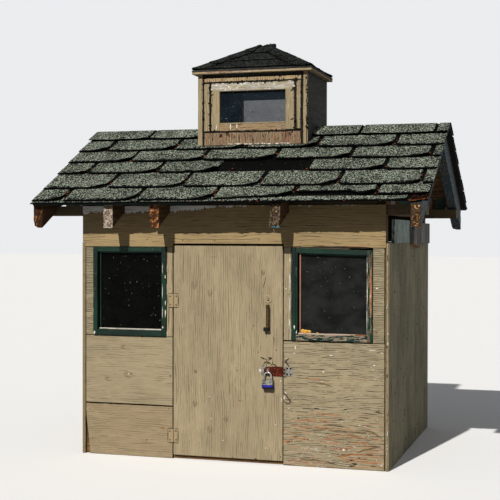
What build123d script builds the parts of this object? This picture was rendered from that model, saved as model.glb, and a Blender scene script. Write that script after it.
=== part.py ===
from build123d import *
import os
from math import atan2, cos, degrees, hypot, pi, radians, sin, tan

# Small ice fishing hut: a framed shed of plywood sheets on ground sills, a shingled
# gable roof on rafters whose tails show, and a glazed cupola over the ridge.
# X runs along the front from left to right, Y runs from the front to the back,
# Z is up, and the origin is at the middle of the footprint on the ground. Millimetres.

# Shell
hut_width = 1220.0
hut_depth = 1016.0
sheet = 12.7
side_sheet_height = 832.0
vent_rise = 142.5
seam = 1.0
cut_depth = 60.0

# Sawn timber of the frame
stud = 38.0
stud_depth = 64.0
corner_post = 34.0

# Main roof
roof_pitch = 27.5
rafter_depth = 79.0
seat_rise = 21.0
eave_overhang = 115.0
gable_overhang = 156.0
left_barge = -764.0
right_barge = 742.0
ridge_board = 19.0
deck = 9.5
deck_lip = 3.0
common_rafters = (-450.0, -262.0, 212.0)

# Shingle courses of the main roof
course_exposure = 113.0
course_count = 7
starter_exposure = 43.0
butt_thickness = 8.0
head_thickness = 3.5
shingle_overhang = 5.0
tab_pitch = 304.8
tab_slot = 9.0
odd_course_slot = 114.0
even_course_slot = -36.0
intact_course_count = 3
torn_strip = 55.0
cap_reach = 108.0
cap_thickness = 4.0
cap_clearance = 0.3

# Doorway and door
doorway_left = -229.0
doorway_right = 212.0
door_head_rise = 12.5
door_gap = 2.5
door_head_gap = 8.0
door_thickness = 12.2
door_bottom = 14.0

# Front windows
left_stile = 35.3
right_stile = 47.3
left_jamb = 25.0
right_jamb = 30.0
window_height = 346.0
window_sill_height = 469.0
window_side = 18.0
window_top = 19.0
window_bottom = 23.0
window_bead = 5.0
window_depth = 40.0
window_proud = 8.0
window_chamfer = 2.0
pane = 3.0
pane_clearance = 0.3
left_seam_height = 200.0

# Boards over the side vents
green_board = (-388.0, -21.0)
green_board_height = 90.0
grey_board = 19.0
grey_board_height = 81.0
grey_slanted = (-31.0, 134.0)
grey_slant = 5.8
grey_straight = (142.0, 418.0)
grey_overlap = 6.0
eave_block = 19.0
eave_block_height = 60.0

# Cupola
cupola_shift = -13.0
cupola_half_width = 233.0
cupola_half_depth = 173.0
cupola_height = 220.6
cupola_board = 9.5
cupola_sash_drop = 36.0
cupola_sash_height = 198.0
cupola_sash_inset = 3.0
cupola_sash_half = 176.0
cupola_sash_depth = 22.0
cupola_sash_clearance = 0.3
cupola_stile = 36.0
cupola_rail = 34.0
cupola_corner_board = 23.0
cupola_casing = 26.0
cupola_casing_gap = 6.0
cupola_head_board = 17.0
cupola_eave = 20.0
cupola_deck = 6.35
cupola_ridge_half = 15.0
cupola_rise = 118.0
cupola_shingle = 7.0
hip_cap_width = 95.0
hip_cap = 3.0

# Hinges, hasp, padlock and pull handle
hinge_height = 50.0
hinge_centres = (88.0, 609.0)
leaf_width = 17.0
leaf_thickness = 1.6
leaf_clearance = 0.4
tongue_overlap = 1.0
knuckle_radius = 3.0
knuckle_count = 5
knuckle_gap = 0.3
pin_radius = 1.5
pin_clearance = 0.08
wall_clearance = 0.3
hasp_height = 351.5
hasp_width = 35.0
hasp_pivot = 216.5
hasp_plate_length = 30.0
hasp_strap_length = 79.0
hasp_shoulder = 41.0
strap_tip_length = 8.0
strap_tip_cut = 10.0
strap_taper = 2.0
staple_offset = 62.5
staple_radius = 1.75
staple_half = 10.0
staple_reach = 16.9
staple_bend = 5.0
staple_bend_parts = 3
staple_plate = (56.0, 32.0)
slot_clearance = 1.8
shackle_radius = 3.0
shackle_half = 13.8
shackle_bend_parts = 10
bar_sides = 20
lock_width = 44.0
lock_height = 36.0
lock_depth = 20.0
lock_gap = 1.0
lock_corner = 4.0
lock_chamfer = 2.0
shackle_drop = 12.0
handle_place = 150.0
handle_top = 618.0
handle_length = 113.0
handle_reach = 24.0
handle_width = 10.0
handle_bar = 6.0
handle_rounding = 2.5
rosette_radius = 16.0
rosette = 4.0

# Lines that follow from the values above
pitch = radians(roof_pitch)
front_face = -hut_depth / 2
frame_front = front_face + sheet
side_face = hut_width / 2
frame_side = side_face - sheet
plate_top = side_sheet_height + vent_rise
plate_bottom = plate_top - stud
rafter_plumb = rafter_depth / cos(pitch)
ridge_line = plate_top - seat_rise + rafter_plumb - frame_front * tan(pitch)
tail_face = front_face - eave_overhang
roof_edge = side_face + gable_overhang
rafter_lines = [(line - stud / 2, line + stud / 2) for line in common_rafters]
deck_length = (deck_lip - tail_face) / cos(pitch)
cupola_wall_top = ridge_line + cupola_height
cupola_sash_top = cupola_wall_top - cupola_sash_drop
cupola_sash_bottom = cupola_sash_top - cupola_sash_height
cupola_left = cupola_shift - cupola_half_width
cupola_right = cupola_shift + cupola_half_width
cupola_face = -cupola_half_depth
cupola_sheet_face = cupola_face + cupola_board
well_left = cupola_left + sheet
well_right = cupola_right - sheet
well_front = cupola_sheet_face + sheet
left_post = doorway_left - left_jamb
right_post = doorway_right + right_jamb
window_spans = (
    (-frame_side + left_stile + seam, left_post - seam),
    (right_post + seam, frame_side - right_stile - seam),
)


def rafter_top(y):
    """Height of the plane of the rafter tops above a place on the front slope."""
    return ridge_line + y * tan(pitch)


def on_slope(down, lift):
    """A point of the front slope as (y, z), down from the ridge and square off it."""
    return (-down * cos(pitch) - lift * sin(pitch), ridge_line - down * sin(pitch) + lift * cos(pitch))


def at_ridge(lift):
    """The same layer where it meets its mirror image over the ridge."""
    return (0, ridge_line + lift / cos(pitch))


def board(x, y, z):
    """A straight board or sheet between pairs of coordinates."""
    middle = ((x[0] + x[1]) / 2, (y[0] + y[1]) / 2, (z[0] + z[1]) / 2)
    with Locations(middle):
        Box(x[1] - x[0], y[1] - y[0], z[1] - z[0])


def front_sheet(x, z):
    """A wall sheet on the front of the frame."""
    board(x, (front_face, frame_front), z)


def slope_profile(points, start, length, mode=Mode.ADD):
    """A profile across the roof, given as (y, z) points, run along X."""
    with BuildSketch(Plane.YZ.offset(start)) as profile:
        with BuildLine():
            Polyline(*points, close=True)
        make_face()
    extrude(profile.sketch, amount=length, mode=mode)


def upright_profile(points, y, depth, mode=Mode.ADD):
    """A profile seen from the front, given as (x, z) points, run towards the back."""
    with BuildSketch(Plane.XZ.offset(-y)) as profile:
        with BuildLine():
            Polyline(*points, close=True)
        make_face()
    extrude(profile.sketch, amount=-depth, mode=mode)


def trim_above(lift):
    """Cut away what lies below a layer of the roof, on both slopes."""
    far = hut_depth
    top = at_ridge(lift)[1]
    low = top - far * tan(pitch)
    slope_profile([(0, top), (-far, low), (far, low)], -hut_width, 2 * hut_width, Mode.SUBTRACT)


def cut_cupola_well(margin):
    """Open the roof under the cupola, larger than the well by a margin."""
    x = (well_left - margin, well_right + margin)
    y = (well_front - margin, -well_front + margin)
    middle = ((x[0] + x[1]) / 2, (y[0] + y[1]) / 2, ridge_line)
    with Locations(middle):
        Box(x[1] - x[0], y[1] - y[0], hut_depth, mode=Mode.SUBTRACT)


def save(piece, name):
    """Label a finished piece and write it."""
    piece.part.label = name
    export_step(piece.part, "parts/" + name + ".step")


os.makedirs("parts", exist_ok=True)

# Ground sills, posts and plates
sill_top = stud
sill_inner = frame_front + stud_depth

with BuildPart() as cross_sills:
    board((-frame_side, frame_side), (frame_front, sill_inner), (0, sill_top))
    mirror(about=Plane.XZ)
save(cross_sills, "cross_sills")

with BuildPart() as side_sills:
    board((frame_side - stud_depth, frame_side), (sill_inner, -sill_inner), (0, sill_top))
    mirror(about=Plane.YZ)
save(side_sills, "side_sills")

with BuildPart() as corner_posts:
    post_inner = frame_front + corner_post
    board((frame_side - corner_post, frame_side), (frame_front, post_inner), (sill_top, plate_bottom))
    mirror(about=Plane.XZ)
    mirror(about=Plane.YZ)
save(corner_posts, "corner_posts")

with BuildPart() as door_posts:
    board((left_post, left_post + stud), (frame_front, sill_inner), (sill_top, plate_bottom))
    board((right_post - stud, right_post), (frame_front, sill_inner), (sill_top, plate_bottom))
save(door_posts, "door_posts")

with BuildPart() as window_rails:
    rail_span = (window_sill_height - stud, window_sill_height)
    board((-frame_side + corner_post, left_post), (frame_front, post_inner), rail_span)
    board((right_post, frame_side - corner_post), (frame_front, post_inner), rail_span)
save(window_rails, "window_rails")

with BuildPart() as top_plates:
    board((left_barge, right_barge), (frame_front, sill_inner), (plate_bottom, plate_top))
    mirror(about=Plane.XZ)
save(top_plates, "top_plates")

with BuildPart() as side_plates:
    board((frame_side - stud_depth, frame_side), (sill_inner, -sill_inner), (plate_bottom, plate_top))
    mirror(about=Plane.YZ)
save(side_plates, "side_plates")

# Rafters, with a seat cut over the plate and a plumb cut at the tail
seat_inner = (plate_top - ridge_line + rafter_plumb) / tan(pitch)
ridge_half = ridge_board / 2
seat_points = [
    (frame_front, plate_top),
    (seat_inner, plate_top),
    (-ridge_half, rafter_top(-ridge_half) - rafter_plumb),
    (-ridge_half, rafter_top(-ridge_half)),
]
tailed_rafter = [
    (tail_face, rafter_top(tail_face)),
    (tail_face, rafter_top(tail_face) - rafter_plumb),
    (frame_front, rafter_top(frame_front) - rafter_plumb),
] + seat_points
flush_rafter = [(frame_front, rafter_top(frame_front))] + seat_points

with BuildPart() as rafters:
    for line in rafter_lines:
        slope_profile(tailed_rafter, line[0], stud)
    for start in (-frame_side, frame_side - stud):
        slope_profile(flush_rafter, start, stud)
    mirror(about=Plane.XZ)
save(rafters, "rafters")

with BuildPart() as barge_rafters:
    for start in (left_barge, right_barge - stud):
        slope_profile(tailed_rafter, start, stud)
    mirror(about=Plane.XZ)
save(barge_rafters, "barge_rafters")

with BuildPart() as ridge_boards:
    ridge_span = (rafter_top(-ridge_half) - rafter_plumb, rafter_top(-ridge_half))
    board((left_barge, rafter_lines[1][1]), (-ridge_half, ridge_half), ridge_span)
    board((rafter_lines[2][0], right_barge), (-ridge_half, ridge_half), ridge_span)
save(ridge_boards, "ridge_boards")

# Gable panels, notched over the ridge board
notch = ridge_half + seam / 2
gable_points = [
    (front_face, plate_top),
    (front_face, rafter_top(front_face)),
    (-notch, rafter_top(-notch)),
    (-notch, ridge_span[0] - seam / 2),
    (notch, ridge_span[0] - seam / 2),
    (notch, rafter_top(-notch)),
    (-front_face, rafter_top(front_face)),
    (-front_face, plate_top),
]
with BuildPart() as gable_panels:
    slope_profile(gable_points, frame_side, sheet)
    mirror(about=Plane.YZ)
save(gable_panels, "gable_panels")

# Roof deck, open under the cupola
deck_points = [at_ridge(0), at_ridge(deck), on_slope(deck_length, deck), on_slope(deck_length, 0)]
with BuildPart() as roof_deck_front:
    slope_profile(deck_points, -roof_edge, 2 * roof_edge)
    cut_cupola_well(0)
save(roof_deck_front, "roof_deck_front")

with BuildPart() as roof_deck_back:
    add(roof_deck_front.part.mirror(Plane.XZ))
save(roof_deck_back, "roof_deck_back")

# Shingles: one stepped layer a slope, its tabs parted by slots, and one tab lost in front
full_courses = course_count - 1
course_butts = [course_exposure * (number + 1) for number in range(full_courses)]
course_butts.append(course_butts[-1] + starter_exposure)
shingle_edge = roof_edge + shingle_overhang
layer_points = [at_ridge(deck), at_ridge(deck + head_thickness)]
for butt in course_butts:
    layer_points.append(on_slope(butt, deck + butt_thickness))
    layer_points.append(on_slope(butt, deck + head_thickness))
layer_points[-1] = on_slope(course_butts[-1], deck)

slot_floor = on_slope(0, deck + head_thickness / 2)
slope_plane = Plane(
    origin=(0, slot_floor[0], slot_floor[1]),
    x_dir=(1, 0, 0),
    z_dir=(0, -sin(pitch), cos(pitch)),
)


def slot_places(course):
    """Places along X of the slots between the tabs of a course."""
    first = odd_course_slot if course % 2 else even_course_slot
    reach = int(roof_edge / tab_pitch) + 1
    places = [first + tab_pitch * step for step in range(-reach, reach + 1)]
    return [place for place in places if abs(place) < roof_edge - tab_slot]


def course_cut(course, x, width):
    """An upright cut through one course of the layer."""
    upper = course_butts[course - 2] if course > 1 else 0
    lower = course_butts[course - 1]
    with BuildSketch(slope_plane) as cut:
        with Locations((x, -(upper + lower) / 2)):
            Rectangle(width, lower - upper)
    extrude(cut.sketch, amount=butt_thickness * 2, mode=Mode.SUBTRACT)


def shingle_layer():
    """Cut the slots of every full course below the ridge cap, and the well."""
    slope_profile(layer_points, -shingle_edge, 2 * shingle_edge)
    for course in range(2, course_count):
        for place in slot_places(course):
            course_cut(course, place, tab_slot)
    cut_cupola_well(sheet + seam)


with BuildPart() as shingles_front:
    shingle_layer()
    lost_from = even_course_slot - torn_strip
    lost_to = even_course_slot + tab_pitch
    course_cut(intact_course_count + 1, (lost_from + lost_to) / 2, lost_to - lost_from)
save(shingles_front, "shingles_front")

with BuildPart() as shingles_back:
    shingle_layer()
    mirror(about=Plane.XZ, mode=Mode.REPLACE)
save(shingles_back, "shingles_back")

cap_head = deck + head_thickness + cap_clearance
cap_low = cap_head + (butt_thickness - head_thickness) * cap_reach / course_exposure
cap_points = [
    at_ridge(cap_head),
    at_ridge(cap_head + cap_thickness),
    on_slope(cap_reach, cap_low + cap_thickness),
    on_slope(cap_reach, cap_low),
]
with BuildPart() as ridge_cap:
    slope_profile(cap_points, -shingle_edge, 2 * shingle_edge)
    mirror(about=Plane.XZ)
    cut_cupola_well(sheet + seam)
save(ridge_cap, "ridge_cap")

# Front wall sheets
window_low = window_sill_height
window_high = window_sill_height + window_height + seam
doorway_top = window_high + door_head_rise


def rafter_notches(face):
    """Notch the top edge of a wall sheet for the rafter tails."""
    low = rafter_top(front_face) - rafter_plumb - seam
    for line in rafter_lines:
        middle = ((line[0] + line[1]) / 2, face, (low + plate_top) / 2)
        with Locations(middle):
            Box(stud + 2 * seam, cut_depth, plate_top - low + seam, mode=Mode.SUBTRACT)


with BuildPart() as front_top_panel:
    front_sheet((-frame_side, frame_side), (window_high, plate_top))
    with Locations(((doorway_left + doorway_right) / 2, front_face, window_high)):
        Box(doorway_right - doorway_left, cut_depth, 2 * door_head_rise, mode=Mode.SUBTRACT)
    rafter_notches(front_face)
save(front_top_panel, "front_top_panel")

with BuildPart() as front_stiles:
    front_sheet((-frame_side, -frame_side + left_stile), (window_low, window_high - seam))
    front_sheet((frame_side - right_stile, frame_side), (window_low, window_high - seam))
save(front_stiles, "front_stiles")

with BuildPart() as front_jambs:
    front_sheet((left_post, doorway_left), (window_low, window_high - seam))
    front_sheet((doorway_right, right_post), (window_low, window_high - seam))
save(front_jambs, "front_jambs")

with BuildPart() as front_left_mid_panel:
    front_sheet((-frame_side, doorway_left), (left_seam_height, window_low - seam))
save(front_left_mid_panel, "front_left_mid_panel")

with BuildPart() as front_left_bottom_panel:
    front_sheet((-frame_side, doorway_left), (0, left_seam_height - seam))
save(front_left_bottom_panel, "front_left_bottom_panel")

with BuildPart() as front_right_lower_panel:
    front_sheet((doorway_right, frame_side), (0, window_low - seam))
save(front_right_lower_panel, "front_right_lower_panel")

# Side and back wall sheets
with BuildPart() as side_wall_right:
    board((frame_side, side_face), (front_face, -front_face), (0, side_sheet_height))
save(side_wall_right, "side_wall_right")

with BuildPart() as side_wall_left:
    add(side_wall_right.part.mirror(Plane.YZ))
save(side_wall_left, "side_wall_left")

with BuildPart() as back_wall:
    board((-frame_side, frame_side), (-frame_front, -front_face), (0, side_sheet_height - seam))
save(back_wall, "back_wall")

with BuildPart() as back_top_panel:
    board((-frame_side, frame_side), (-frame_front, -front_face), (side_sheet_height, plate_top))
    rafter_notches(-front_face)
save(back_top_panel, "back_top_panel")

# Windows of the front wall
frame_start = front_face - window_proud
pane_face = front_face + window_depth / 4
bead_start = pane_face - window_bead - pane_clearance


def window_ring(span, side, top, bottom, start, depth):
    """A window frame or bead: the outer rectangle less its light."""
    low = window_low
    high = window_low + window_height
    centre = (span[0] + span[1]) / 2
    width = span[1] - span[0]
    with BuildSketch(Plane.XZ.offset(-start)) as ring:
        with Locations((centre, (low + high) / 2)):
            Rectangle(width, high - low)
        with Locations((centre, (low + bottom + high - top) / 2)):
            Rectangle(width - 2 * side, high - low - top - bottom, mode=Mode.SUBTRACT)
    extrude(ring.sketch, amount=-depth)


with BuildPart() as window_frames:
    for span in window_spans:
        window_ring(span, window_side, window_top, window_bottom, frame_start, window_depth)
        window_ring(
            span,
            window_side + window_bead,
            window_top + window_bead,
            window_bottom + window_bead,
            bead_start,
            window_bead,
        )
    outer_edges = window_frames.edges().filter_by(Axis.Y).group_by(Axis.Z)
    chamfer(outer_edges[0] + outer_edges[-1], length=window_chamfer)
save(window_frames, "window_frames")

with BuildPart() as window_panes:
    for span in window_spans:
        inset = window_side + pane_clearance
        board(
            (span[0] + inset, span[1] - inset),
            (pane_face, pane_face + pane),
            (
                window_low + window_bottom + pane_clearance,
                window_low + window_height - window_top - pane_clearance,
            ),
        )
save(window_panes, "window_panes")

# Boards over the vent between the side sheets and the plates
with BuildPart() as vent_boards:
    board(
        (frame_side, side_face),
        green_board,
        (side_sheet_height, side_sheet_height + green_board_height),
    )
    mirror(about=Plane.YZ)
save(vent_boards, "vent_boards")

with BuildPart() as vent_blocks:
    low = side_sheet_height - grey_overlap
    fall = (grey_slanted[1] - grey_slanted[0]) * tan(radians(grey_slant))
    slanted = [
        (grey_slanted[0], low),
        (grey_slanted[1], low - fall),
        (grey_slanted[1], low - fall + grey_board_height),
        (grey_slanted[0], low + grey_board_height),
    ]
    slope_profile(slanted, side_face, grey_board)
    board((side_face, side_face + grey_board), grey_straight, (low, low + grey_board_height + grey_overlap))
    mirror(about=Plane.YZ)
save(vent_blocks, "vent_blocks")

block_bays = [
    (left_barge + stud, -side_face),
    (-frame_side + stud, rafter_lines[0][0]),
    (rafter_lines[0][1], rafter_lines[1][0]),
    (rafter_lines[1][1], rafter_lines[2][0]),
    (rafter_lines[2][1], frame_side - stud),
    (side_face, right_barge - stud),
]
with BuildPart() as eave_blocks:
    for bay in block_bays:
        board(
            (bay[0] + seam / 2, bay[1] - seam / 2),
            (frame_front, frame_front + eave_block),
            (plate_top, plate_top + eave_block_height),
        )
    mirror(about=Plane.XZ)
save(eave_blocks, "eave_blocks")

# Cupola walls, standing on the deck round the well
with BuildPart() as cupola_side_walls:
    board(
        (cupola_right - sheet, cupola_right),
        (cupola_sheet_face, -cupola_sheet_face),
        (plate_top, cupola_wall_top),
    )
    board(
        (cupola_left, cupola_left + sheet),
        (cupola_sheet_face, -cupola_sheet_face),
        (plate_top, cupola_wall_top),
    )
    trim_above(deck)
save(cupola_side_walls, "cupola_side_walls")

sash_centre = (cupola_shift, (cupola_sash_bottom + cupola_sash_top) / 2)

with BuildPart() as cupola_front_wall:
    board((well_left, well_right), (cupola_sheet_face, well_front), (plate_top, cupola_wall_top))
    trim_above(deck)
    with BuildSketch(Plane.XZ.offset(-well_front)):
        with Locations(sash_centre):
            Rectangle(
                2 * (cupola_sash_half + cupola_sash_clearance),
                cupola_sash_height + 2 * cupola_sash_clearance,
            )
    extrude(amount=cut_depth, mode=Mode.SUBTRACT)
save(cupola_front_wall, "cupola_front_wall")

with BuildPart() as cupola_back_wall:
    add(cupola_front_wall.part.mirror(Plane.XZ))
save(cupola_back_wall, "cupola_back_wall")

# Trim boards of the cupola's front and back
casing_inner = cupola_sash_half + seam
corner_inner = cupola_half_width - cupola_corner_board
casing_outer = casing_inner + cupola_casing
head_low = cupola_sash_top + 2 * seam
head_high = head_low + cupola_head_board
frieze_low = head_high + seam
panel_half = corner_inner - cupola_casing_gap / 2


def trim_board(x, z):
    """A board on the face of the cupola, its x taken from the cupola's middle line."""
    board((x[0] + cupola_shift, x[1] + cupola_shift), (cupola_face, cupola_sheet_face), z)


with BuildPart() as cupola_trim:
    trim_board((-panel_half, panel_half), (plate_top, cupola_sash_bottom - 2 * seam))
    trim_board((-panel_half, panel_half), (head_low, head_high))
    trim_board((-panel_half, panel_half), (frieze_low, cupola_wall_top))
    for side in (-1, 1):
        corner = sorted((side * corner_inner, side * cupola_half_width))
        casing = sorted((side * casing_inner, side * casing_outer))
        trim_board(corner, (plate_top, cupola_wall_top))
        trim_board(casing, (cupola_sash_bottom - seam, cupola_sash_top + seam))
    trim_above(deck + butt_thickness)
    mirror(about=Plane.XZ)
save(cupola_trim, "cupola_trim")

sash_front = cupola_face + cupola_sash_inset
with BuildPart() as cupola_sashes:
    with BuildSketch(Plane.XZ.offset(-sash_front)):
        with Locations(sash_centre):
            Rectangle(2 * cupola_sash_half, cupola_sash_height)
            Rectangle(
                2 * (cupola_sash_half - cupola_stile),
                cupola_sash_height - 2 * cupola_rail,
                mode=Mode.SUBTRACT,
            )
    extrude(amount=-cupola_sash_depth)
    mirror(about=Plane.XZ)
save(cupola_sashes, "cupola_sashes")

with BuildPart() as cupola_panes:
    half = cupola_sash_half - cupola_stile - pane_clearance
    board(
        (cupola_shift - half, cupola_shift + half),
        (sash_front + cupola_sash_depth / 2, sash_front + cupola_sash_depth / 2 + pane),
        (
            cupola_sash_bottom + cupola_rail + pane_clearance,
            cupola_sash_top - cupola_rail - pane_clearance,
        ),
    )
    mirror(about=Plane.XZ)
save(cupola_panes, "cupola_panes")

# Hip roof of the cupola
eave_half_width = cupola_half_width + cupola_eave
eave_half_depth = cupola_half_depth + cupola_eave
eave_top = cupola_wall_top + cupola_board

with BuildPart() as cupola_eave_board:
    board(
        (cupola_shift - eave_half_width, cupola_shift + eave_half_width),
        (-eave_half_depth, eave_half_depth),
        (cupola_wall_top, eave_top),
    )
save(cupola_eave_board, "cupola_eave_board")


def hip_form(lift, floor):
    """The hip roof above a floor level, its slopes raised plumb by a lift."""
    apex = eave_top + cupola_rise + lift
    base = eave_top + lift
    with BuildPart() as form:
        ends = [
            (cupola_shift - eave_half_width, floor),
            (cupola_shift - eave_half_width, base),
            (cupola_shift - cupola_ridge_half, apex),
            (cupola_shift + cupola_ridge_half, apex),
            (cupola_shift + eave_half_width, base),
            (cupola_shift + eave_half_width, floor),
        ]
        upright_profile(ends, -eave_half_depth, 2 * eave_half_depth)
        slopes = [
            (-eave_half_depth, floor),
            (-eave_half_depth, base),
            (0, apex),
            (eave_half_depth, base),
            (eave_half_depth, floor),
        ]
        slope_profile(slopes, -hut_width, 2 * hut_width, Mode.INTERSECT)
    return form.part


hip_deck = hip_form(cupola_deck, eave_top)
hip_hollow = hip_form(0, eave_top - seam)
hip_shingled = hip_form(cupola_deck + cupola_shingle, eave_top)
hip_capped = hip_form(cupola_deck + cupola_shingle + hip_cap, eave_top)

with BuildPart() as cupola_roof_deck:
    add(hip_deck)
    add(hip_hollow, mode=Mode.SUBTRACT)
save(cupola_roof_deck, "cupola_roof_deck")

with BuildPart() as cupola_shingles:
    add(hip_shingled)
    add(hip_deck, mode=Mode.SUBTRACT)
save(cupola_shingles, "cupola_shingles")

hip_run = eave_half_width - cupola_ridge_half
hip_angle = degrees(atan2(eave_half_depth, hip_run))
hip_length = 2 * hypot(eave_half_depth, hip_run)
with BuildPart() as cupola_hip_caps:
    with BuildSketch(Plane.XY.offset(eave_top)):
        for side in (-1, 1):
            with Locations((cupola_shift + side * cupola_ridge_half, 0)):
                Rectangle(hip_length, hip_cap_width, rotation=hip_angle)
                Rectangle(hip_length, hip_cap_width, rotation=-hip_angle)
    extrude(amount=2 * cupola_rise)
    add(hip_capped, mode=Mode.INTERSECT)
    add(hip_shingled, mode=Mode.SUBTRACT)
save(cupola_hip_caps, "cupola_hip_caps")

# Butt hinges on the face of the wall
pivot_x = doorway_left + door_gap / 2
pivot_y = front_face - knuckle_radius - wall_clearance
leaf_start = knuckle_radius + leaf_clearance
door_left = doorway_left + door_gap
door_right = doorway_right - door_gap


def knuckles(x, z, length, count, first):
    """Every other knuckle of a barrel whose middle is at z."""
    pitch_z = length / count
    for number in range(first, count, 2):
        low = z - length / 2 + number * pitch_z + knuckle_gap / 2
        with Locations((x, pivot_y, low + (pitch_z - knuckle_gap) / 2)):
            Cylinder(knuckle_radius, pitch_z - knuckle_gap)


def tongues(x, z, length, count, first, side, face):
    """The strips that join a leaf to its knuckles."""
    pitch_z = length / count
    for number in range(first, count, 2):
        low = z - length / 2 + number * pitch_z + knuckle_gap / 2
        span = sorted((x, x + side * (leaf_start + tongue_overlap)))
        board(span, (face - leaf_thickness, face), (low, low + pitch_z - knuckle_gap))


def leaf(start, end, low, high):
    """A flat leaf on the face of the front wall."""
    board((start, end), (front_face - leaf_thickness, front_face), (low, high))


with BuildPart() as hinge_wall_leaves:
    for height in hinge_centres:
        low = height - hinge_height / 2
        leaf(pivot_x - leaf_width, pivot_x - leaf_start, low, low + hinge_height)
        knuckles(pivot_x, height, hinge_height, knuckle_count, 0)
        tongues(pivot_x, height, hinge_height, knuckle_count, 0, -1, front_face)
        with Locations((pivot_x, pivot_y, height)):
            Cylinder(pin_radius, hinge_height)
save(hinge_wall_leaves, "hinge_wall_leaves")

with BuildPart() as hinge_door_leaves:
    for height in hinge_centres:
        low = height - hinge_height / 2
        leaf(pivot_x + leaf_start, pivot_x + leaf_width, low, low + hinge_height)
        knuckles(pivot_x, height, hinge_height, knuckle_count, 1)
        tongues(pivot_x, height, hinge_height, knuckle_count, 1, 1, front_face)
        with Locations((pivot_x, pivot_y, height)):
            Cylinder(pin_radius + pin_clearance, hinge_height, mode=Mode.SUBTRACT)
save(hinge_door_leaves, "hinge_door_leaves")

# Door
with BuildPart() as door_panel:
    door_top = doorway_top - door_head_gap
    board((door_left, door_right), (front_face, front_face + door_thickness), (door_bottom, door_top))
save(door_panel, "door_panel")

# Hasp: a plate on the wall, a swinging strap, and a staple on the door
hasp_low = hasp_height - hasp_width / 2
hasp_high = hasp_height + hasp_width / 2
strap_face = pivot_y - leaf_thickness / 2
staple_x = hasp_pivot - staple_offset

with BuildPart() as hasp_plate:
    leaf(hasp_pivot + leaf_start, hasp_pivot + hasp_plate_length, hasp_low, hasp_high)
    knuckles(hasp_pivot, hasp_height, hasp_width, knuckle_count, 0)
    tongues(hasp_pivot, hasp_height, hasp_width, knuckle_count, 0, 1, front_face)
    with Locations((hasp_pivot, pivot_y, hasp_height)):
        Cylinder(pin_radius, hasp_width)
save(hasp_plate, "hasp_plate")

with BuildPart() as hasp_strap:
    tip = hasp_pivot - hasp_strap_length
    shoulder = hasp_pivot - hasp_shoulder
    strap_points = [
        (hasp_pivot - leaf_start, hasp_low),
        (hasp_pivot - leaf_start, hasp_high),
        (shoulder, hasp_high),
        (tip + strap_tip_length, hasp_high - strap_taper),
        (tip, hasp_high - strap_tip_cut),
        (tip, hasp_low + strap_tip_cut),
        (tip + strap_tip_length, hasp_low + strap_taper),
        (shoulder, hasp_low),
    ]
    upright_profile(strap_points, strap_face, leaf_thickness)
    knuckles(hasp_pivot, hasp_height, hasp_width, knuckle_count, 1)
    tongues(hasp_pivot, hasp_height, hasp_width, knuckle_count, 1, -1, strap_face + leaf_thickness)
    with Locations((hasp_pivot, pivot_y, hasp_height)):
        Cylinder(pin_radius + pin_clearance, hasp_width, mode=Mode.SUBTRACT)
    with BuildSketch(Plane.XZ.offset(-strap_face - leaf_thickness)):
        slot_half = staple_radius + slot_clearance
        with Locations((staple_x, hasp_height)):
            SlotOverall(2 * (staple_half + slot_half), 2 * slot_half, rotation=90)
    extrude(amount=cut_depth, both=True, mode=Mode.SUBTRACT)
save(hasp_strap, "hasp_strap")



def bend(centre, radius, start, parts, turn):
    """Points along a bend of bar, its start and turn in radians."""
    angles = [start + turn * step / parts for step in range(parts + 1)]
    return [(centre[0] + radius * cos(angle), centre[1] + radius * sin(angle)) for angle in angles]


def bar_along(points, plane, radius):
    """A bar with a section of many sides along a path in a plane."""
    with BuildLine(plane) as path:
        Polyline(*points)
    with BuildSketch(Plane(origin=path.line @ 0, z_dir=path.line % 0)) as section:
        RegularPolygon(radius, bar_sides)
    sweep(section.sketch, path=path.line, transition=Transition.RIGHT)


with BuildPart() as hasp_staple:
    bend_y = front_face - staple_reach + staple_bend
    leg = staple_half - staple_bend
    quarter = -pi / 2
    staple_points = [
        (front_face, hasp_height + staple_half),
        *bend((bend_y, hasp_height + leg), -staple_bend, quarter, staple_bend_parts, -quarter),
        *bend((bend_y, hasp_height - leg), -staple_bend, 0, staple_bend_parts, -quarter),
        (front_face, hasp_height - staple_half),
    ]
    bar_along(staple_points, Plane.YZ.offset(staple_x), staple_radius)
    plate_low = hasp_height - staple_plate[1] / 2
    plate_left = staple_x - staple_plate[0] / 2
    leaf(plate_left, plate_left + staple_plate[0], plate_low, plate_low + staple_plate[1])
save(hasp_staple, "hasp_staple")

# Padlock, hung by its shackle in the staple
lock_y = front_face - lock_gap - lock_depth / 2
crown = hasp_height - staple_half + staple_radius + shackle_radius + wall_clearance
bend_centre = crown - shackle_half
lock_top = bend_centre - shackle_drop
lock_bore = shackle_radius + pin_clearance

with BuildPart() as padlock_shackle:
    shackle_points = [
        (staple_x + shackle_half, lock_top - shackle_drop),
        *bend((staple_x, bend_centre), shackle_half, 0, shackle_bend_parts, pi),
        (staple_x - shackle_half, lock_top - shackle_drop),
    ]
    bar_along(shackle_points, Plane.XZ.offset(-lock_y), shackle_radius)
save(padlock_shackle, "padlock_shackle")

with BuildPart() as padlock_body:
    board(
        (staple_x - lock_width / 2, staple_x + lock_width / 2),
        (lock_y - lock_depth / 2, lock_y + lock_depth / 2),
        (lock_top - lock_height, lock_top),
    )
    fillet(padlock_body.edges().filter_by(Axis.Z), radius=lock_corner)
    chamfer(padlock_body.faces().sort_by(Axis.Z)[0].edges(), length=lock_chamfer)
    with Locations(padlock_body.faces().sort_by(Axis.Z)[-1]):
        with GridLocations(2 * shackle_half, lock_depth, 2, 1):
            Hole(lock_bore, depth=shackle_drop + pin_clearance)
save(padlock_body, "padlock_body")

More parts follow.
